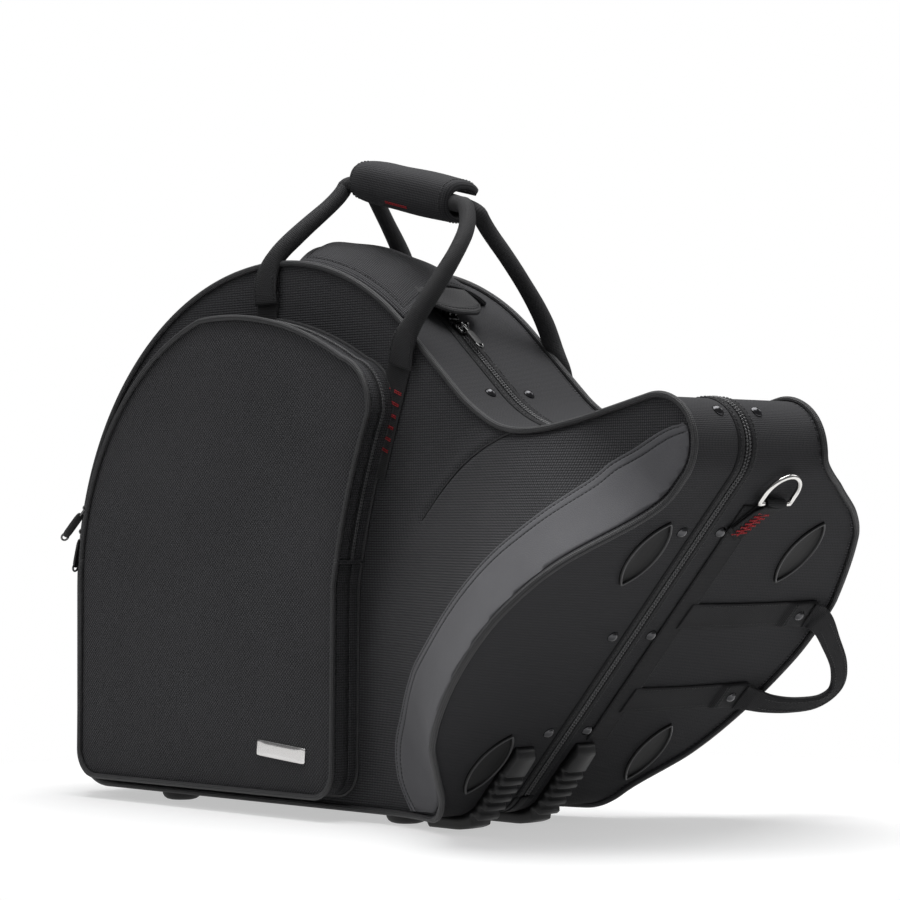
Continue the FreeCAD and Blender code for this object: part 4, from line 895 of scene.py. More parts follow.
def pocket_edge(outset, down):
    """The pocket's outline (x, z) moved outward, at a depth down from its base, where it is wider."""
    x, z, deg = np.array(pocket_shares).T
    out = np.stack((np.cos(np.radians(deg)), np.sin(np.radians(deg))), 1)
    p = np.stack((pocket_left + pocket_w * x, pocket_low + pocket_h * z), 1) + out * outset
    p[:, 0] += np.minimum(0, out[:, 0]) * (pocket_depth - down)

    def straight(a, b, count):
        """Points a + t (b - a), without the last."""
        return a + (b - a) * np.linspace(0, 1, count, endpoint=False)[:, None]
    lines = [arc_through(*p[0:3], 8), straight(p[2], p[3], 40)]
    lines += [arc_through(*p[i:i + 3], count) for i, count in ((3, 44), (5, 46), (7, 26), (9, 30))]
    lines += [straight(p[11], p[12], 36), arc_through(*p[12:15], 8), straight(p[14], p[0], 70)]
    return np.concatenate(lines)


edge = pocket_edge(0.0, 0.0)
edge_count = len(edge)
rising = np.flatnonzero((edge[:-1, 1] < fold_z) & (edge[1:, 1] >= fold_z))[0]
falling = np.flatnonzero((edge[:-1, 1] >= fold_z) & (edge[1:, 1] < fold_z))[0]
left_t = rising + (fold_z - edge[rising, 1]) / (edge[rising + 1, 1] - edge[rising, 1])
right_t = falling + (edge[falling, 1] - fold_z) / (edge[falling, 1] - edge[falling + 1, 1])
spans = {"upper": (left_t, right_t), "lower": (right_t, left_t + edge_count)}


def stretch(ring, span, count=200):
    """Part of a closed outline between two places counted in its points."""
    twice = np.concatenate((ring, ring))
    at = np.linspace(span[0], span[1], count)
    return np.stack([np.interp(at, np.arange(len(twice)), twice[:, k]) for k in (0, 1)], 1)


def wall(span, section):
    """Part of the side wall: a section of pairs (depth, out) carried along the pocket's edge."""
    rows = [raised(stretch(pocket_edge(out, down), span), front_y - down) for down, out in section]
    return capped(np.stack(rows, 1))


core, pocket_crown, fold_half = np.array((-186.0, 192.0)), 2.6, 9.0
q = 1 - (1 - np.linspace(0, 1, 60)) ** 1.3
spokes = pocket_edge(0.4, pocket_depth) - core
face = core + spokes * q[:, None, None]
gap = (1 - q)[:, None] * np.linalg.norm(spokes, axis=1)
wave = 0.5 * np.sin(face[..., 0] / 47 + 1) * np.cos(face[..., 1] / 38) * np.clip(gap / 60, 0, 1)
crown = pocket_crown * (1 - np.exp(-gap / 16)) + wave
skin = raised(face, front_y - pocket_depth + 1.2 - crown)
rear = raised(face, front_y - pocket_depth + pocket_panel)[::-6]
rows = np.concatenate((skin, rear))
flat_uv = np.concatenate((rows, rows[:, :1]), 1)[..., (0, 2)]
pocket_cloth = woven("pocket_cloth", (0.003, 0.003, 0.0033), (0.106, 0.106, 0.112), 0.0022, 0.0006, turn=45.0)
pocket_face = make("pocket_face", [grid(rows, flat_uv, round_j=True)], pocket_cloth, None, "shell_cloth",
                   "pocket_front_lower", "pocket_flap")
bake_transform(pocket_face)

far_end = ((24.0, 0.4), (pocket_depth - 1.0, -0.6), (pocket_depth - 2.0, -pocket_wall))
up_wall = ((pocket_seam + 3.0, 0.0), (19.0, 0.5), *far_end, (pocket_seam + 3.0, -pocket_wall))
low_wall = ((pocket_seam - 1.0, 0.3), (18.0, 0.6), *far_end, (pocket_seam - 1.0, -pocket_wall))
make("pocket_side_upper", [wall(spans["upper"], up_wall)], case_cloth, "pocket_flap", "shell_cloth",
     "pocket_flap")
make("pocket_side_lower", [wall(spans["lower"], low_wall)], case_cloth, "lid", "shell_cloth",
     "pocket_front_lower")
base_up = ((0.1, 0.2), (4.0, 0.5), (8.0, 0.3), (9.4, 0.0), (9.4, -pocket_wall), (0.1, -pocket_wall))
base_low = ((0.1, 0.2), (4.0, 0.5), (8.0, 0.5), (11.2, 0.3), (11.2, -pocket_wall), (0.1, -pocket_wall))
make("pocket_gusset_cloth", [wall(spans["upper"], base_up), wall(spans["lower"], base_low)], case_cloth,
     "lid", "shell_cloth", "pocket_gusset")
welt = raised(pocket_edge(1.0, 0.8), front_y - 1.4)
make("pocket_welt", [hose(welt, 1.5, 8, y3, looped=True)], piping_cloth, "lid", "piping")
for label, body, node in (("upper", "pocket_flap", "pocket_piping_upper"),
                          ("lower", "lid", "pocket_piping_lower")):
    cord = raised(stretch(pocket_edge(0.9, pocket_depth), spans[label]), front_y - pocket_depth - 0.6)
    make("pocket_cord_" + label, [hose(cord, 2.3, 10, y3)], piping_cloth, body, "piping", node)
for label, body, near, far, coil_at in (("fixed", "lid", 9.4, 11.7, 11.3),
                                        ("moving", "pocket_flap", 12.5, 15.0, 12.9)):
    section = ((near, 0.3), (far, 0.3), (far, -2.0), (near, -2.0))
    line = raised(stretch(pocket_edge(0.5, coil_at), spans["upper"], 400), front_y - coil_at)
    line, at = even(line, coil_pitch / 4)
    swell = 0.7 + 0.3 * np.cos(2 * math.pi * at / coil_pitch + (math.pi if label == "fixed" else 0))
    make("pocket_tape_" + label, [wall(spans["upper"], section)], tape_cloth, body, "zip_tape",
         "pocket_zip_" + label)
    make("pocket_coil_" + label, [hose(line, 1.3 * swell, 6, y3)], coil_nylon, body, "zip_tape",
         "pocket_zip_" + label)
hems = []
for t, step in ((left_t, -0.25), (right_t, 0.25)):
    down = np.linspace(2.0, pocket_depth - 1.5, 14)
    spot = np.stack([stretch(pocket_edge(0.9, k), (t + step, t + step), 1)[0] for k in down])
    hems.append(hose(raised(spot, front_y - down), 1.5, 8, np.array((0.0, 0.0, 1.0))))
make("pocket_hem_bars", hems, case_cloth, "lid", "shell_cloth")
seams = {"upper": [], "lower": []}
for label in spans:
    for down in (17.2, 24.6):
        line = raised(stretch(pocket_edge(0.75, down), spans[label]), front_y - down)
        lean = unit(line - raised(core, front_y - down))
        seams[label].append(stitches(line[3:-3], lean[3:-3], 3.6, 2.4, 0.3))
make("pocket_stitching_upper", seams["upper"], black_thread, "pocket_flap", "shell_cloth")
make("pocket_stitching_lower", seams["lower"], black_thread, "lid", "shell_cloth")

# The plate: a small badge blank of polished metal with round edges. It is bare, and it is pinned through the
# cloth near the pocket's lower corner.
plate_w, plate_h, plate_t, plate_turn = 58.0, 13.0, 1.6, math.radians(-4.5)
plate_mid = np.array((pocket_left + pocket_w * 0.721, front_y - pocket_depth - 1.3,
                      pocket_low + pocket_h * 0.087))
a = round_turn(64)
rim_x, rim_z = plate_w / 2 * pressed(np.cos(a), 0.14), plate_h / 2 * pressed(np.sin(a), 0.14)
shrink = np.array((0.0, 0.5, 0.9, 0.97, 1.0, 1.0, 0.0))[:, None]
lift = np.array((1.0, 1.0, 0.98, 0.85, 0.5, -0.6, -0.6))[:, None] * plate_t
x, z = shrink * rim_x, shrink * rim_z
turned_x = x * math.cos(plate_turn) - z * math.sin(plate_turn)
turned_z = x * math.sin(plate_turn) + z * math.cos(plate_turn)
rows = np.stack((plate_mid[0] + turned_x, plate_mid[1] - lift + 0 * x, plate_mid[2] + turned_z), -1)
polished = moulded("polished_plate", (0.55, 0.54, 0.53), (0.74, 0.73, 0.72), 0.22, grain=90.0,
                   proud=0.00003, metal=1.0)
make("bare_plate", [grid(rows, round_j=True)], polished, "lid", "plate", "name_plate_blank")


# The carrying handles: webbing sewn flat to each side panel, folded round a cord above its foot, and
# joined at the top by a padded wrap. Red bar tacks hold the straps.
tube_r, foot_w = 7.5, 28.0
webbing = ribbed("handle_webbing", (0.007, 0.007, 0.0075), (0.056, 0.056, 0.058), 0.0014, 0.0004, rough=0.66)
crest_top = crest_c[1] + crest_r


def crest_at(x):
    """Height of the top outline at x: the crest's circle, then the slope."""
    if x <= slope_top[0]:
        return crest_c[1] + math.sqrt(crest_r ** 2 - (x - crest_c[0]) ** 2)
    return slope_top[1] - (x - slope_top[0]) * math.tan(math.radians(slope_tilt))


def rounded(points, count):
    """A line whose corners are cut three times at a quarter and three quarters of each run."""
    p = np.array(points, float)
    for _ in range(3):
        cuts = np.stack((0.75 * p[:-1] + 0.25 * p[1:], 0.25 * p[:-1] + 0.75 * p[1:]), 1).reshape(-1, 3)
        p = np.concatenate((p[:1], cuts, p[-1:]))
    return even(p, lengths(p)[-1] / (count - 1))[0]


grip_left = np.array((-117.5, 8.0, crest_top + 73.0))
grip_right = np.array((12.5, 8.0, crest_top + 42.0))
lane = np.array((0.0, 9.0, 0.0))
legs = {"front": {"body": "front_handle", "side": -1, "base": front["base"], "left": (-150.0, 28.0),
                  "right": (9.0, 28.0),
                  "rise": ((-150, -64, 429), (-142, -61, 448), (-129, -43, 470)),
                  "over": ((-117, -11, 499), grip_left - lane, grip_right - lane, (27, -8, 482),
                           (39, -18, 464), (43, -33, 445), (41, -46, 426)),
                  "fall": ((27, -66, 388), (13, -65, 370))},
        "back": {"body": "back_handle", "side": 1, "base": back["base"], "left": (-136.0, 39.0),
                 "right": (38.0, 23.5),
                 "rise": ((-138, 89, 420), (-140, 86, 444), (-137, 77, 459)),
                 "over": ((-120, 38, 490), (-115, 24, 503), grip_left + lane, grip_right + lane, (8, 30, 470),
                          (19, 50, 440)),
                 "fall": ((26, 76, 402), (28, 88, 376), (34, 90, 354))}}
for label, leg in legs.items():
    side = leg["side"]
    flat_y = side * (leg["base"] + strap_t + 2.2)
    feet = [np.array((x, flat_y, crest_at(x) - drop)) for x, drop in (leg["left"], leg["right"])]
    path = rounded([feet[0] - (0, 0, 3), *leg["rise"], *leg["over"], *leg["fall"], feet[1] - (0, 0, 3)], 190)
    run = lengths(path)
    end = np.minimum(run, run[-1] - run)
    fold = np.clip((end - 12) / 34, 0, 1)
    fold = fold * fold * (3 - 2 * fold)
    round_r = tube_r - 1.0 * np.clip((end - 60) / 40, 0, 1)
    half_w = foot_w / 2 + (round_r - foot_w / 2) * fold
    tall = 1.9 + (round_r - 1.9) * fold
    leg["feet"] = feet
    make(label + "_handle_webbing", [hose(path, half_w, 22, y3, flat=tall / half_w)], webbing, leg["body"],
         "webbing", label + "_handle")
    way = along(path)
    aside = unit(np.cross(way, y3))
    seams = []
    for edge in (-1, 1):
        shown = (end > 3) & (end < 26)
        for part in (run < run[-1] / 2, run > run[-1] / 2):
            pick = shown & part
            beside = aside[pick] * (half_w[pick] * 0.8 * edge)[:, None]
            line = path[pick] + beside + y3 * side * (tall[pick] * 0.72)[:, None]
            seams.append(stitches(line, y3 * side, 3.4, 2.4, 0.32))
    make(label + "_handle_stitching", seams, black_thread, leg["body"], "webbing")

strap_len = 62.0
for label, body, leans in (("front", "lid", (4.0, 19.0)), ("back", "back_half", (0.0, 0.0))):
    leg = legs[label]
    bands, tacks = [], []
    for foot, lean in zip(leg["feet"], leans):
        run_down = strap_len + 30 if lean > 10 else strap_len
        down = np.array((-math.sin(math.radians(lean)), 0.0, -math.cos(math.radians(lean))))
        aside = np.array((-down[2], 0.0, down[0]))
        start = np.array((foot[0], leg["side"] * (leg["base"] + strap_t / 2 + 0.3), foot[2] + tube_r))
        line = start + down * np.linspace(0, run_down + tube_r, 40)[:, None]
        bands.append(ribbon(line, aside, strap_w, strap_t))
        out = np.array((0.0, float(leg["side"]), 0.0))
        for step in 30.0 + 9.3 * np.arange(6 if lean > 10 else 4):
            mark = start + down * step + out * (strap_t / 2 + 0.15)
            for shift in (-7.0, 6.0):
                bar = mark + aside * shift + (aside + down * 0.06) * np.linspace(-3.2, 3.2, 4)[:, None]
                tacks += [stitches(bar + down * k, out, 2.0, 2.2, 0.45) for k in (-0.7, 0.7)]
    make(label + "_strap_bands", bands, webbing, body, "webbing", label + "_handle_straps")
    make(label + "_strap_tacks", tacks, red_thread, body, "webbing")

# The grip: padded cloth wrapped round both handles, thick at the middle and rolled in at its ends. It is
# sewn to the front handle and marked with a red seam.
wrap_len, wrap_w, wrap_h, wrap_wall = 120.0, 42.0, 34.0, 6.0
grip_way = unit(grip_right - grip_left)
grip_mid = (grip_left + grip_right) / 2 + grip_way * 0.5
grip_up = np.cross(grip_way, y3)
t = np.linspace(-1, 1, 60)
bulk = np.clip(1 - np.abs(t) ** 14, 0, 1) ** 0.5
bulk = (0.80 + 0.20 * bulk) * (1 - 0.20 * np.clip((-t - 0.45) / 0.55, 0, 1) ** 2)
a = np.radians(np.linspace(38, 322, 60))
round_y, round_z = pressed(np.cos(a), 0.8), pressed(np.sin(a), 0.8)
outer = np.stack((round_y * (wrap_w / 2 + 1.0), round_z * (wrap_h / 2 + 1.0) + 1.5), -1)[None]
outer = outer * bulk[:, None, None]
sag = 1 + 0.02 * np.sin(5 * t)[:, None, None]
inner = np.stack((round_y * (wrap_w / 2 - wrap_wall), round_z * (wrap_h / 2 - wrap_wall)), -1)[None]
inner = inner * np.ones((60, 1, 1))
spine = grip_mid + grip_way * (t * wrap_len / 2)[:, None]
skins = [spine[:, None] + y3 * skin[..., :1] + grip_up * skin[..., 1:] for skin in (outer * sag, inner)]
grip_cloth = woven("grip_cloth", (0.006, 0.006, 0.0065), (0.070, 0.070, 0.074), 0.0018, 0.0002)
grip = make("grip_pad", [sandwich(*skins)], grip_cloth, "front_handle", "grip", "grip_wrap")
seams = []
for share in (-0.9, 0.9):
    k = int(round((share + 1) / 2 * 59))
    line = skins[0][k, 2:58]
    seams.append(stitches(line + unit(line - spine[k]) * 0.2, unit(line - spine[k]), 3.6, 2.6, 0.4))
make("grip_stitching", seams, black_thread, "front_handle", "grip")
marked = (t > -0.18) & (t < 0.28)
reds = []
for k in (37, 38):
    mark, lean = skins[0][marked, k], unit(skins[0][marked, k] - spine[marked])
    reds.append(stitches(mark + lean * 0.2, lean, 2.6, 2.3, 0.5))
make("grip_red_stitching", reds, red_thread, "front_handle", "grip")


# The flap over the zip at the crest: two layers of ribbed cloth over thin padding, sewn to the back half
# and hemmed all round. A tongue at its lower end holds the sliders down.
flap_from, flap_to, flap_near, flap_far = -3.5, 32.0, -55.0, 62.0
flap_shares = ((0.0, 0.9), (0.12, 1.1), (0.4, 1.05), (0.7, 0.95), (1.0, 0.8))
flap_crown, flap_edge, flap_pad = 20.0, 2.8, 3.2
flap_mid, flap_half = (flap_near + flap_far) / 2, (flap_far - flap_near) / 2


def over_crest(deg, y, lift):
    """Points over the crest: deg round it from the top, y across, lift off the case's surface."""
    a = np.radians(90 - deg)
    r = crest_r + lift
    return np.stack((crest_c[0] + r * np.cos(a), y + 0 * r, crest_c[1] + r * np.sin(a)), -1)


def flap_height(t, v):
    """Lift of the flap: its edge, plus a crown (1 - v squared) that grows and fades along it."""
    crown = flap_crown * eased(flap_shares, t) - flap_edge
    return flap_edge + crown * np.clip(1 - np.abs(v) ** 2.2, 0, 1)


def flap_angle(t, v):
    """Angle round the crest: both ends of the flap lie further down on its near side, v below 0."""
    near = np.clip(-v, 0, 1)
    return flap_from + 8.0 * near + (flap_to - flap_from) * t


t = np.linspace(0, 1, 84)[:, None]
v = np.sin(np.linspace(-1, 1, 61) * math.pi / 2)[None]
reach = flap_half - 1.5 * (2 * t - 1) ** 8
y = flap_mid + reach * v
lift = flap_height(t, v)
border = np.minimum(np.minimum(t, 1 - t) * 132, (1 - np.abs(v)) * 56)
hem = 0.9 * np.exp(-((border - 2.5) / 2.2) ** 2) - 0.8 * np.exp(-((border - 6.5) / 1.3) ** 2)
waves = 0.5 * np.sin(t * 19 + 1.5 * v) * np.clip(border / 20, 0, 1)
top = over_crest(flap_angle(t, v), y, lift + hem + waves)
under = over_crest(flap_angle(t, v), y, np.maximum(lift - flap_pad, 0.5))
flap = make("top_flap_pad", [sandwich(top, under)], case_cloth, "back_half", "shell_cloth", "top_flap")
seams = []
for v_at in (-0.885, 0.885):
    line_t = np.linspace(0.06, 0.94, 50)
    line = over_crest(flap_angle(line_t, v_at), flap_mid + flap_half * v_at, flap_height(line_t, v_at) - 0.1)
    lean = line - raised(crest_c, 0.0) - y3 * line[:, 1:2]
    seams.append(stitches(line, unit(lean), 3.4, 2.5, 0.34))
for t_at in (0.05, 0.95):
    line_v = np.linspace(-0.86, 0.86, 40)
    line = over_crest(flap_angle(t_at, line_v), flap_mid + flap_half * line_v,
                      flap_height(t_at, line_v) - 0.1)
    lean = unit(over_crest(flap_to * t_at, 0.0, 0.0) - raised(crest_c, 0.0))
    seams.append(stitches(line, lean, 3.4, 2.5, 0.34))
make("top_flap_stitching", seams, black_thread, "back_half", "shell_cloth")

tongue_near, tongue_far, tongue_long, tongue_t, tongue_up = -27.0, 31.0, 37.5, 3.2, 15.0
tongue_mid, tongue_half = (tongue_near + tongue_far) / 2, (tongue_far - tongue_near) / 2


def tongue_len(u):
    """Length of the tongue at a share u of its half width: 1 - 0.42 |u| to the 3.2 of its full length."""
    return tongue_long * (1 - 0.42 * np.abs(u) ** 3.2)


u = np.sin(np.linspace(-1, 1, 49) * math.pi / 2)[None]
t = np.linspace(0, 1, 30)[:, None]
long = tongue_len(u)
out_along = np.radians(-flap_to)
seat = over_crest(np.array(flap_to), 0.0, np.array(tongue_up - tongue_t))
way = np.array((math.cos(out_along), 0, math.sin(out_along)))
up = np.array((-math.sin(out_along), 0, math.cos(out_along)))
reach = 0.6 + long * t
y = tongue_mid + tongue_half * u * (1 - 0.05 * t ** 3)
border = np.minimum(np.minimum(long * (1 - t), reach + 3), (1 - np.abs(u)) * tongue_half)
puffed = tongue_t * (0.55 + 0.45 * np.clip(border / 2.4, 0, 1) ** 0.5) + 0.8 * np.clip(border / 9, 0, 1)
groove = -0.8 * np.exp(-((border - 4.2) / 1.0) ** 2)
droop = -1.5 * (reach / tongue_long) ** 2 - 1.5 * u ** 2
low = seat + way * reach[..., None] + y3 * y[..., None] + up * droop[..., None]
make("flap_tongue_cloth", [sandwich(low + up * (puffed + groove)[..., None], low)], piping_cloth,
     "flap_tongue", "piping", "flap_tongue")
share = np.linspace(-0.86, 0.86, 50)
far = 0.6 + tongue_len(share) - 4.4
line = seat + way * far[:, None] + y3 * (tongue_mid + tongue_half * 0.97 * share)[:, None]
line = line + up * (tongue_t - 1.5 * (far / tongue_long) ** 2 - 1.5 * share ** 2)[:, None]
make("flap_tongue_stitching", [stitches(line, up, 3.2, 2.3, 0.34)], black_thread, "flap_tongue", "piping")


# Sliders and pulls: cast bodies that straddle the coil, a bridge on each, and a moulded tab that ends in
# a wire loop. Two close the case at the crest, and two close the pocket.
slider_h, ear_h, pull_w, pull_step = 4.0, 3.6, 7.0, 7.2
coil_top = 1.3


def pebble(at, axes, sizes, power=0.35, rows=13, sides=20):
    """Rounded block: a ball whose cosines and sines are raised to a power, stretched along three axes."""
    v = np.linspace(-math.pi / 2, math.pi / 2, rows)[:, None, None]
    w = np.linspace(-math.pi, math.pi, sides, endpoint=False)[None, :, None]
    cos_v, cos_w, sin_v, sin_w = (pressed(x, power) for x in (np.cos(v), np.cos(w), np.sin(v), np.sin(w)))
    body = (axes[0] * (sizes[0] / 2 * cos_v * cos_w) + axes[1] * (sizes[1] / 2 * cos_v * sin_w)
            + axes[2] * (sizes[2] / 2 * sin_v))
    return grid(at + body, round_j=True)


def slider_parts(at, way, out, wide, low):
    """A slider's body, wider where the coils part, and the bridge that the pull swings in."""
    body = pebble(at + out * (low + slider_h / 2), (way, wide, out), (12.0, 10.0, slider_h))
    nose = pebble(at + out * (low + slider_h / 2) - way * 3.5, (way, wide, out), (6.5, 11.0, slider_h - 0.6))
    a = np.linspace(0, math.pi, 14)[:, None]
    bridges = []
    for k in (-3.2, 3.2):
        bow = at + wide * k + out * (low + slider_h - 0.6)
        bow = bow + way * 2.5 * np.cos(a) + out * (ear_h + 0.4) * np.sin(a)
        bridges.append(hose(bow, 0.95, 8, wide))
    return [body, nose] + bridges


def pull_parts(at, way, out, wide, low, long, lift, twist):
    """A pull: its eye and neck, the moulded tab, and the wire loop that closes its end. The tab hangs
    twisted about its own length by an angle."""
    eye = at + out * (low + slider_h + ear_h / 2)
    lean = math.radians(lift)
    run = way * math.cos(lean) + out * math.sin(lean)
    face = out * math.cos(lean) - way * math.sin(lean)
    a = round_turn(18)[:, None]
    ring = hose(eye + run * (1.6 + 2.6 * np.cos(a)) + wide * 1.5 * np.sin(a), 0.75, 8, face, looped=True)
    neck = pebble(eye + run * (pull_step - 1.5), (run, wide, face), (7.0, 3.6, 1.9))
    c, s = math.cos(math.radians(twist)), math.sin(math.radians(twist))
    wide, face = wide * c + face * s, face * c - wide * s
    tab = pebble(eye + run * (pull_step + long * 0.42), (run, wide, face), (long * 0.86, pull_w, 2.6),
                 power=0.45)
    end = eye + run * (pull_step + long * 0.84)
    wire = hose(end + run * 3.4 * np.cos(a) + wide * 2.9 * np.sin(a), 0.9, 8, face, looped=True)
    return [ring, neck, wire], [tab]


slider_metal = moulded("slider_metal", (0.06, 0.06, 0.06), (0.20, 0.20, 0.20), 0.26, metal=1.0, proud=0.00005)
tab_rubber = moulded("pull_tab_rubber", (0.010, 0.010, 0.010), (0.026, 0.026, 0.026), 0.5, grain=600.0,
                     proud=0.0002)


def crest_frame(deg, turned_back):
    """A seat on the crest at an angle from its top, with the way that the pull lies."""
    out, way = polar(90 - deg, 1), polar(-deg, 1) * (-1 if turned_back else 1)
    return *(raised(v, 0.0) for v in (crest_c + out * crest_r, way, out)), y3, coil_top


def pocket_frame(z):
    """A seat over the pocket's zip at a height, on the arc of its left corner."""
    p = []
    for x_share, z_share, deg in pocket_shares[3:6]:
        out = polar(deg, 1)
        shift = min(0.0, out[0]) * (pocket_depth - pocket_seam)
        p.append(np.array((pocket_left + pocket_w * x_share + shift, pocket_low + pocket_h * z_share)))
    o = centre(*p)
    r = np.linalg.norm(p[0] - o)
    rise = math.degrees(math.asin((z - o[1]) / r))
    out = polar(180 - rise, 1)
    slant = unit(np.array((out[0] * pocket_depth, pocket_depth, 0.0)))
    way = raised(polar(270 - rise, 1), 0.0)
    normal = unit(np.cross(slant, way))
    at = o + out * r
    return np.array((at[0], front_y - pocket_seam, at[1])), way, normal, np.cross(normal, way), 0.3


slope_seat = slope_top + polar(-slope_tilt, 3.0)
right_frame = (*(raised(v, 0.0) for v in (slope_seat, polar(-slope_tilt, 1), slope_out)), y3, coil_top)
sliders = (("zip_slider_left", "zip_pull_left", crest_frame(38.3, True), 20.0, 0.0, 0.0),
           ("zip_slider_right", "zip_pull_right", right_frame, 20.0, 0.0, 0.0),
           ("pocket_slider_upper", "pocket_pull_upper", pocket_frame(246.0), 30.0, 24.0, 62.0),
           ("pocket_slider_lower", "pocket_pull_lower", pocket_frame(226.0), 30.0, 3.0, 35.0))
for body, pull, seat_frame, long, lean, twist in sliders:
    metal, tab = pull_parts(*seat_frame, long, lean, twist)
    slot = "nickel" if body.startswith("zip") else "zip_metal"
    make(body + "_body", slider_parts(*seat_frame), slider_metal, body, slot, body)
    make(pull + "_metal", metal, slider_metal, pull, "zip_metal", pull)
    make(pull + "_tab", tab, tab_rubber, pull, "zip_metal", pull)


# The inside: padded blocks glued to the back lining, which hold the valves and the bell's throat, with a
# cuff that straps the horn down, and in the lid a press pad and a cup for a mouthpiece.
inner = 22.0
bed_low = foot_h + inner


def block(x, low, top, y0, y1, round_off):
    """Padded block: columns from low to top at each x, carried from y0 to y1, drawn in at both ends by
    r (1 - root of (1 - e squared)) for e from 1 to 0 over its first r."""
    e = np.sin(np.linspace(0, math.pi / 2, 7))
    drawn = round_off * (1 - np.cos(np.arcsin(e)))
    y = np.concatenate((y0 + drawn, np.linspace(y0 + 2 * round_off, y1 - 2 * round_off, 12),
                        (y1 - drawn)[::-1]))
    from_end = np.minimum(y - y0, y1 - y)
    draw = round_off * (1 - np.sqrt(np.clip(1 - np.clip(1 - from_end / round_off, 0, 1) ** 2, 0, 1)))[:, None]
    middle, half_x = (x[0] + x[-1]) / 2, (x[-1] - x[0]) / 2
    xs = middle + (x - middle)[None] * (1 - draw / half_x)
    tops, lows = top[None] - draw, low + draw * 0.2 + 0 * x[None]
    corner = np.clip((half_x - np.abs(x - middle)) / round_off, 0, 1)[None]
    tops = tops - round_off * (1 - np.sqrt(1 - (1 - corner) ** 2))
    ys = np.broadcast_to(y[:, None], xs.shape)
    return sandwich(np.stack((xs, ys, tops), -1), np.stack((xs, ys, lows), -1))


def notched_top(x, high, at, r):
    """Top line of a block with a round notch: high - root of (r squared - (x - at) squared)."""
    bite = np.sqrt(np.maximum(r ** 2 - (x - at) ** 2, 0))
    return high - bite - 1.2 * np.sin((x - x[0]) / (x[-1] - x[0]) * math.pi * 3) ** 2


block_plush = plush("block_plush", (0.012, 0.012, 0.014), (0.048, 0.048, 0.054))
x = np.linspace(-275.0, -155.0, 61)
back_pad = back["base"] - inner
pad = block(x, bed_low + 0.3, notched_top(x, bed_low + 51.0, -215.0, 33.0), back_pad - 46.0,
            back_pad - 0.5, 6.0)
piece = make("valve_block_pad", [pad], block_plush, "back_half", "plush", "valve_block")
throat_x, throat_len = heel_c[0] - 4.0, 110.0
x = np.linspace(throat_x - throat_len, throat_x, 61)
pad = block(x, bed_low + 0.3, notched_top(x, 149.0, throat_x - throat_len / 2, 37.0), back_pad - 40.0,
            back_pad - 0.5, 6.0)
piece = make("throat_block_pad", [pad], block_plush, "back_half", "plush", "throat_block")
pad_y, pad_half_x, pad_half_z, pad_t, channel_w = -front["base"] + inner, 119.5, 44.5, 15.5, 0.03
u = np.sin(np.linspace(-1, 1, 61) * math.pi / 2)[:, None]
w = np.sin(np.linspace(-1, 1, 41) * math.pi / 2)[None]
tall = pad_t * (np.clip(1 - np.abs(u) ** 10, 0, 1) * np.clip(1 - np.abs(w) ** 8, 0, 1)) ** 0.5
channels = np.exp(-((w - 0.33) / channel_w) ** 2) + np.exp(-((w + 0.33) / channel_w) ** 2)
channels = 1.8 * channels * np.clip(tall / 12, 0, 1)
pad_x, pad_z = -165.0 + pad_half_x * u + 0 * w, 150.0 + pad_half_z * w + 0 * u
top = np.stack((pad_x, pad_y + tall - channels, pad_z), -1)
under = np.stack((pad_x, pad_y + 0.2 + 0 * tall, pad_z), -1)
piece = make("press_pad", [sandwich(top, under)], block_plush, "lid", "plush", "lid_pad")
cup = ((1.0, 0.2), (17.0, 0.2), (19.0, 2.0), (19.0, 27.5), (17.6, 29.8), (15.2, 29.8), (13.6, 28.0),
       (13.5, 6.2), (12.0, 5.6), (1.0, 5.6))
piece = make("mouthpiece_cup", [turned((-250.0, pad_y + 19.0, 300.0), (0, 0, 1), cup, sides=40)],
             block_plush, "lid", "plush", "mouthpiece_holder")
cuff_x, cuff_w, cuff_y = throat_x - throat_len / 2, 38.0, back_pad - 40.0
z = np.linspace(bed_low + cuff_w, 149.0 - 38.0 - 2.5, 40)
bow = 0.9 * np.sin((z - z[0]) / (z[-1] - z[0]) * math.pi)
line = np.stack((np.full(40, cuff_x), cuff_y - 1.3 - bow, z), 1)
make("horn_cuff_band", [ribbon(line, np.array((1.0, 0, 0)), cuff_w, 2.3)], webbing, "back_half", "webbing",
     "horn_cuff")


# The studio: a pale paper floor and a white backdrop, one wide soft lamp above, a soft lamp from the left
# and a weak one behind.
floor_half = 1300.0
floor_mesh = bpy.data.meshes.new("floor")
corners = np.array(((-1, -1, 0), (1, -1, 0), (1, 1, 0), (-1, 1, 0))) * floor_half / 1000
floor_mesh.from_pydata(corners.tolist(), [], [(0, 1, 2, 3)])
floor = bpy.data.objects.new("floor", floor_mesh)
bpy.context.scene.collection.objects.link(floor)
paper, tree = blank("studio_paper")
seen = put(tree, "LightPath").outputs
bright = sums(tree, "MAXIMUM", seen["Is Camera Ray"], seen["Is Glossy Ray"])
tint = shades(tree, noise(tree, 3.0, 3.0), (0.53, 0.53, 0.53), (0.58, 0.58, 0.58))
away = put(tree, "VectorMath", put(tree, "TexCoord").outputs["Object"], operation="LENGTH").outputs["Value"]
fade = put(tree, "MapRange", away, 0.6, 2.0, 0.50, 1.0, interpolation_type="SMOOTHSTEP").outputs[0]
dress(paper, tint, Roughness=0.9, Specular_IOR_Level=0.1, Emission_Color=(1, 1, 1, 1),
      Emission_Strength=sums(tree, "MULTIPLY", bright, fade))

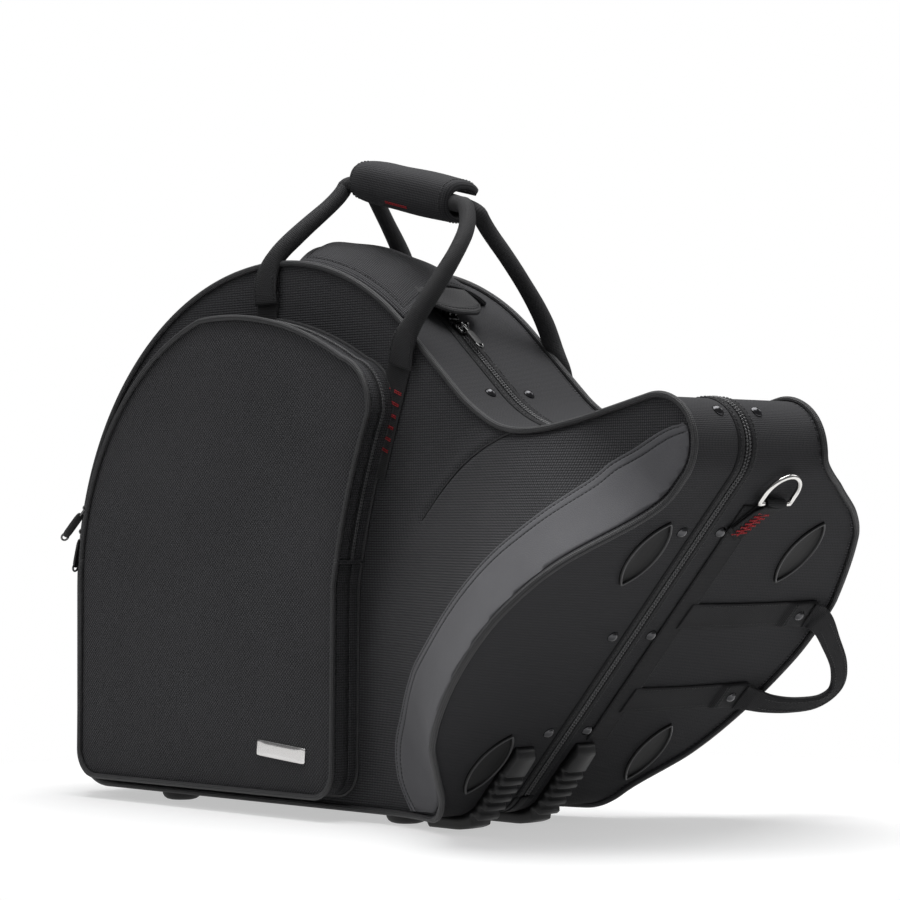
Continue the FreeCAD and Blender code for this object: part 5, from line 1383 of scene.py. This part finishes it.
# The case is opened lying down. Where a pose swings a piece below the floor, the floor clears over it,
# and it clears far from the case, where the backdrop is as white.
below = put(tree, "AmbientOcclusion", None, 1.2, samples=48, inside=True).outputs["AO"]
far = put(tree, "MapRange", away, 0.5, 0.66, 0.0, 1.0, interpolation_type="SMOOTHSTEP").outputs[0]
clears = sums(tree, "MAXIMUM", far, sums(tree, "LESS_THAN", below, 0.995))
open_floor = sums(tree, "MULTIPLY", seen["Is Camera Ray"], clears)
open_floor = sums(tree, "MAXIMUM", open_floor, seen["Is Shadow Ray"])
clear = put(tree, "MixShader", open_floor, tree.nodes["Principled BSDF"].outputs[0],
            put(tree, "BsdfTransparent").outputs[0])
tree.links.new(clear.outputs[0], tree.nodes["Material Output"].inputs["Surface"])
floor_mesh.materials.append(paper)

world = bpy.data.worlds.new("studio")
bpy.context.scene.world = world
world.use_nodes = True
tree = world.node_tree
seen = put(tree, "LightPath").outputs
bright = sums(tree, "MAXIMUM", seen["Is Camera Ray"], seen["Is Transmission Ray"])
backdrop = tree.nodes["Background"]
tree.links.new(shades(tree, bright, (0.17, 0.17, 0.175), (1.0, 1.0, 1.0)), backdrop.inputs["Color"])


def lamp(name, at, size, power):
    """Square area lamp at a place in metres, turned to the middle of the case."""
    light = bpy.data.lights.new(name, "AREA")
    light.size = size
    light.energy = power
    made = bpy.data.objects.new(name, light)
    made.location = at
    aim = Vector((0.0, 0.0, 0.22)) - made.location
    made.rotation_euler = aim.to_track_quat("-Z", "Y").to_euler()
    bpy.context.scene.collection.objects.link(made)


lamp("lamp_above", (0.1, 0.05, 2.3), 2.0, 66.0)
lamp("lamp_left", (-1.2, -1.8, 2.0), 1.4, 9.0)
lamp("lamp_behind", (0.9, 2.0, 1.7), 1.2, 8.0)

# The camera stands level, 46 degrees round from the front, at the height that the photograph has. Its lens
# is shifted up instead of tilted, so that upright lines stay upright.
camera_turn, camera_away, camera_up = math.radians(46.0), 2364.0, 236.5
camera = bpy.data.objects.new("camera", bpy.data.cameras.new("camera"))
camera.data.lens = 120.0
camera.data.sensor_width = 36.0
camera.data.shift_y = 0.0778
away_x, away_y = camera_away * math.sin(camera_turn), -camera_away * math.cos(camera_turn)
stand = np.array((away_x, away_y, camera_up)) + place
camera.location = stand / 1000
camera.rotation_euler = (math.pi / 2, 0, camera_turn)
bpy.context.scene.collection.objects.link(camera)
bpy.context.scene.camera = camera
bpy.context.scene.view_settings.view_transform = "Standard"
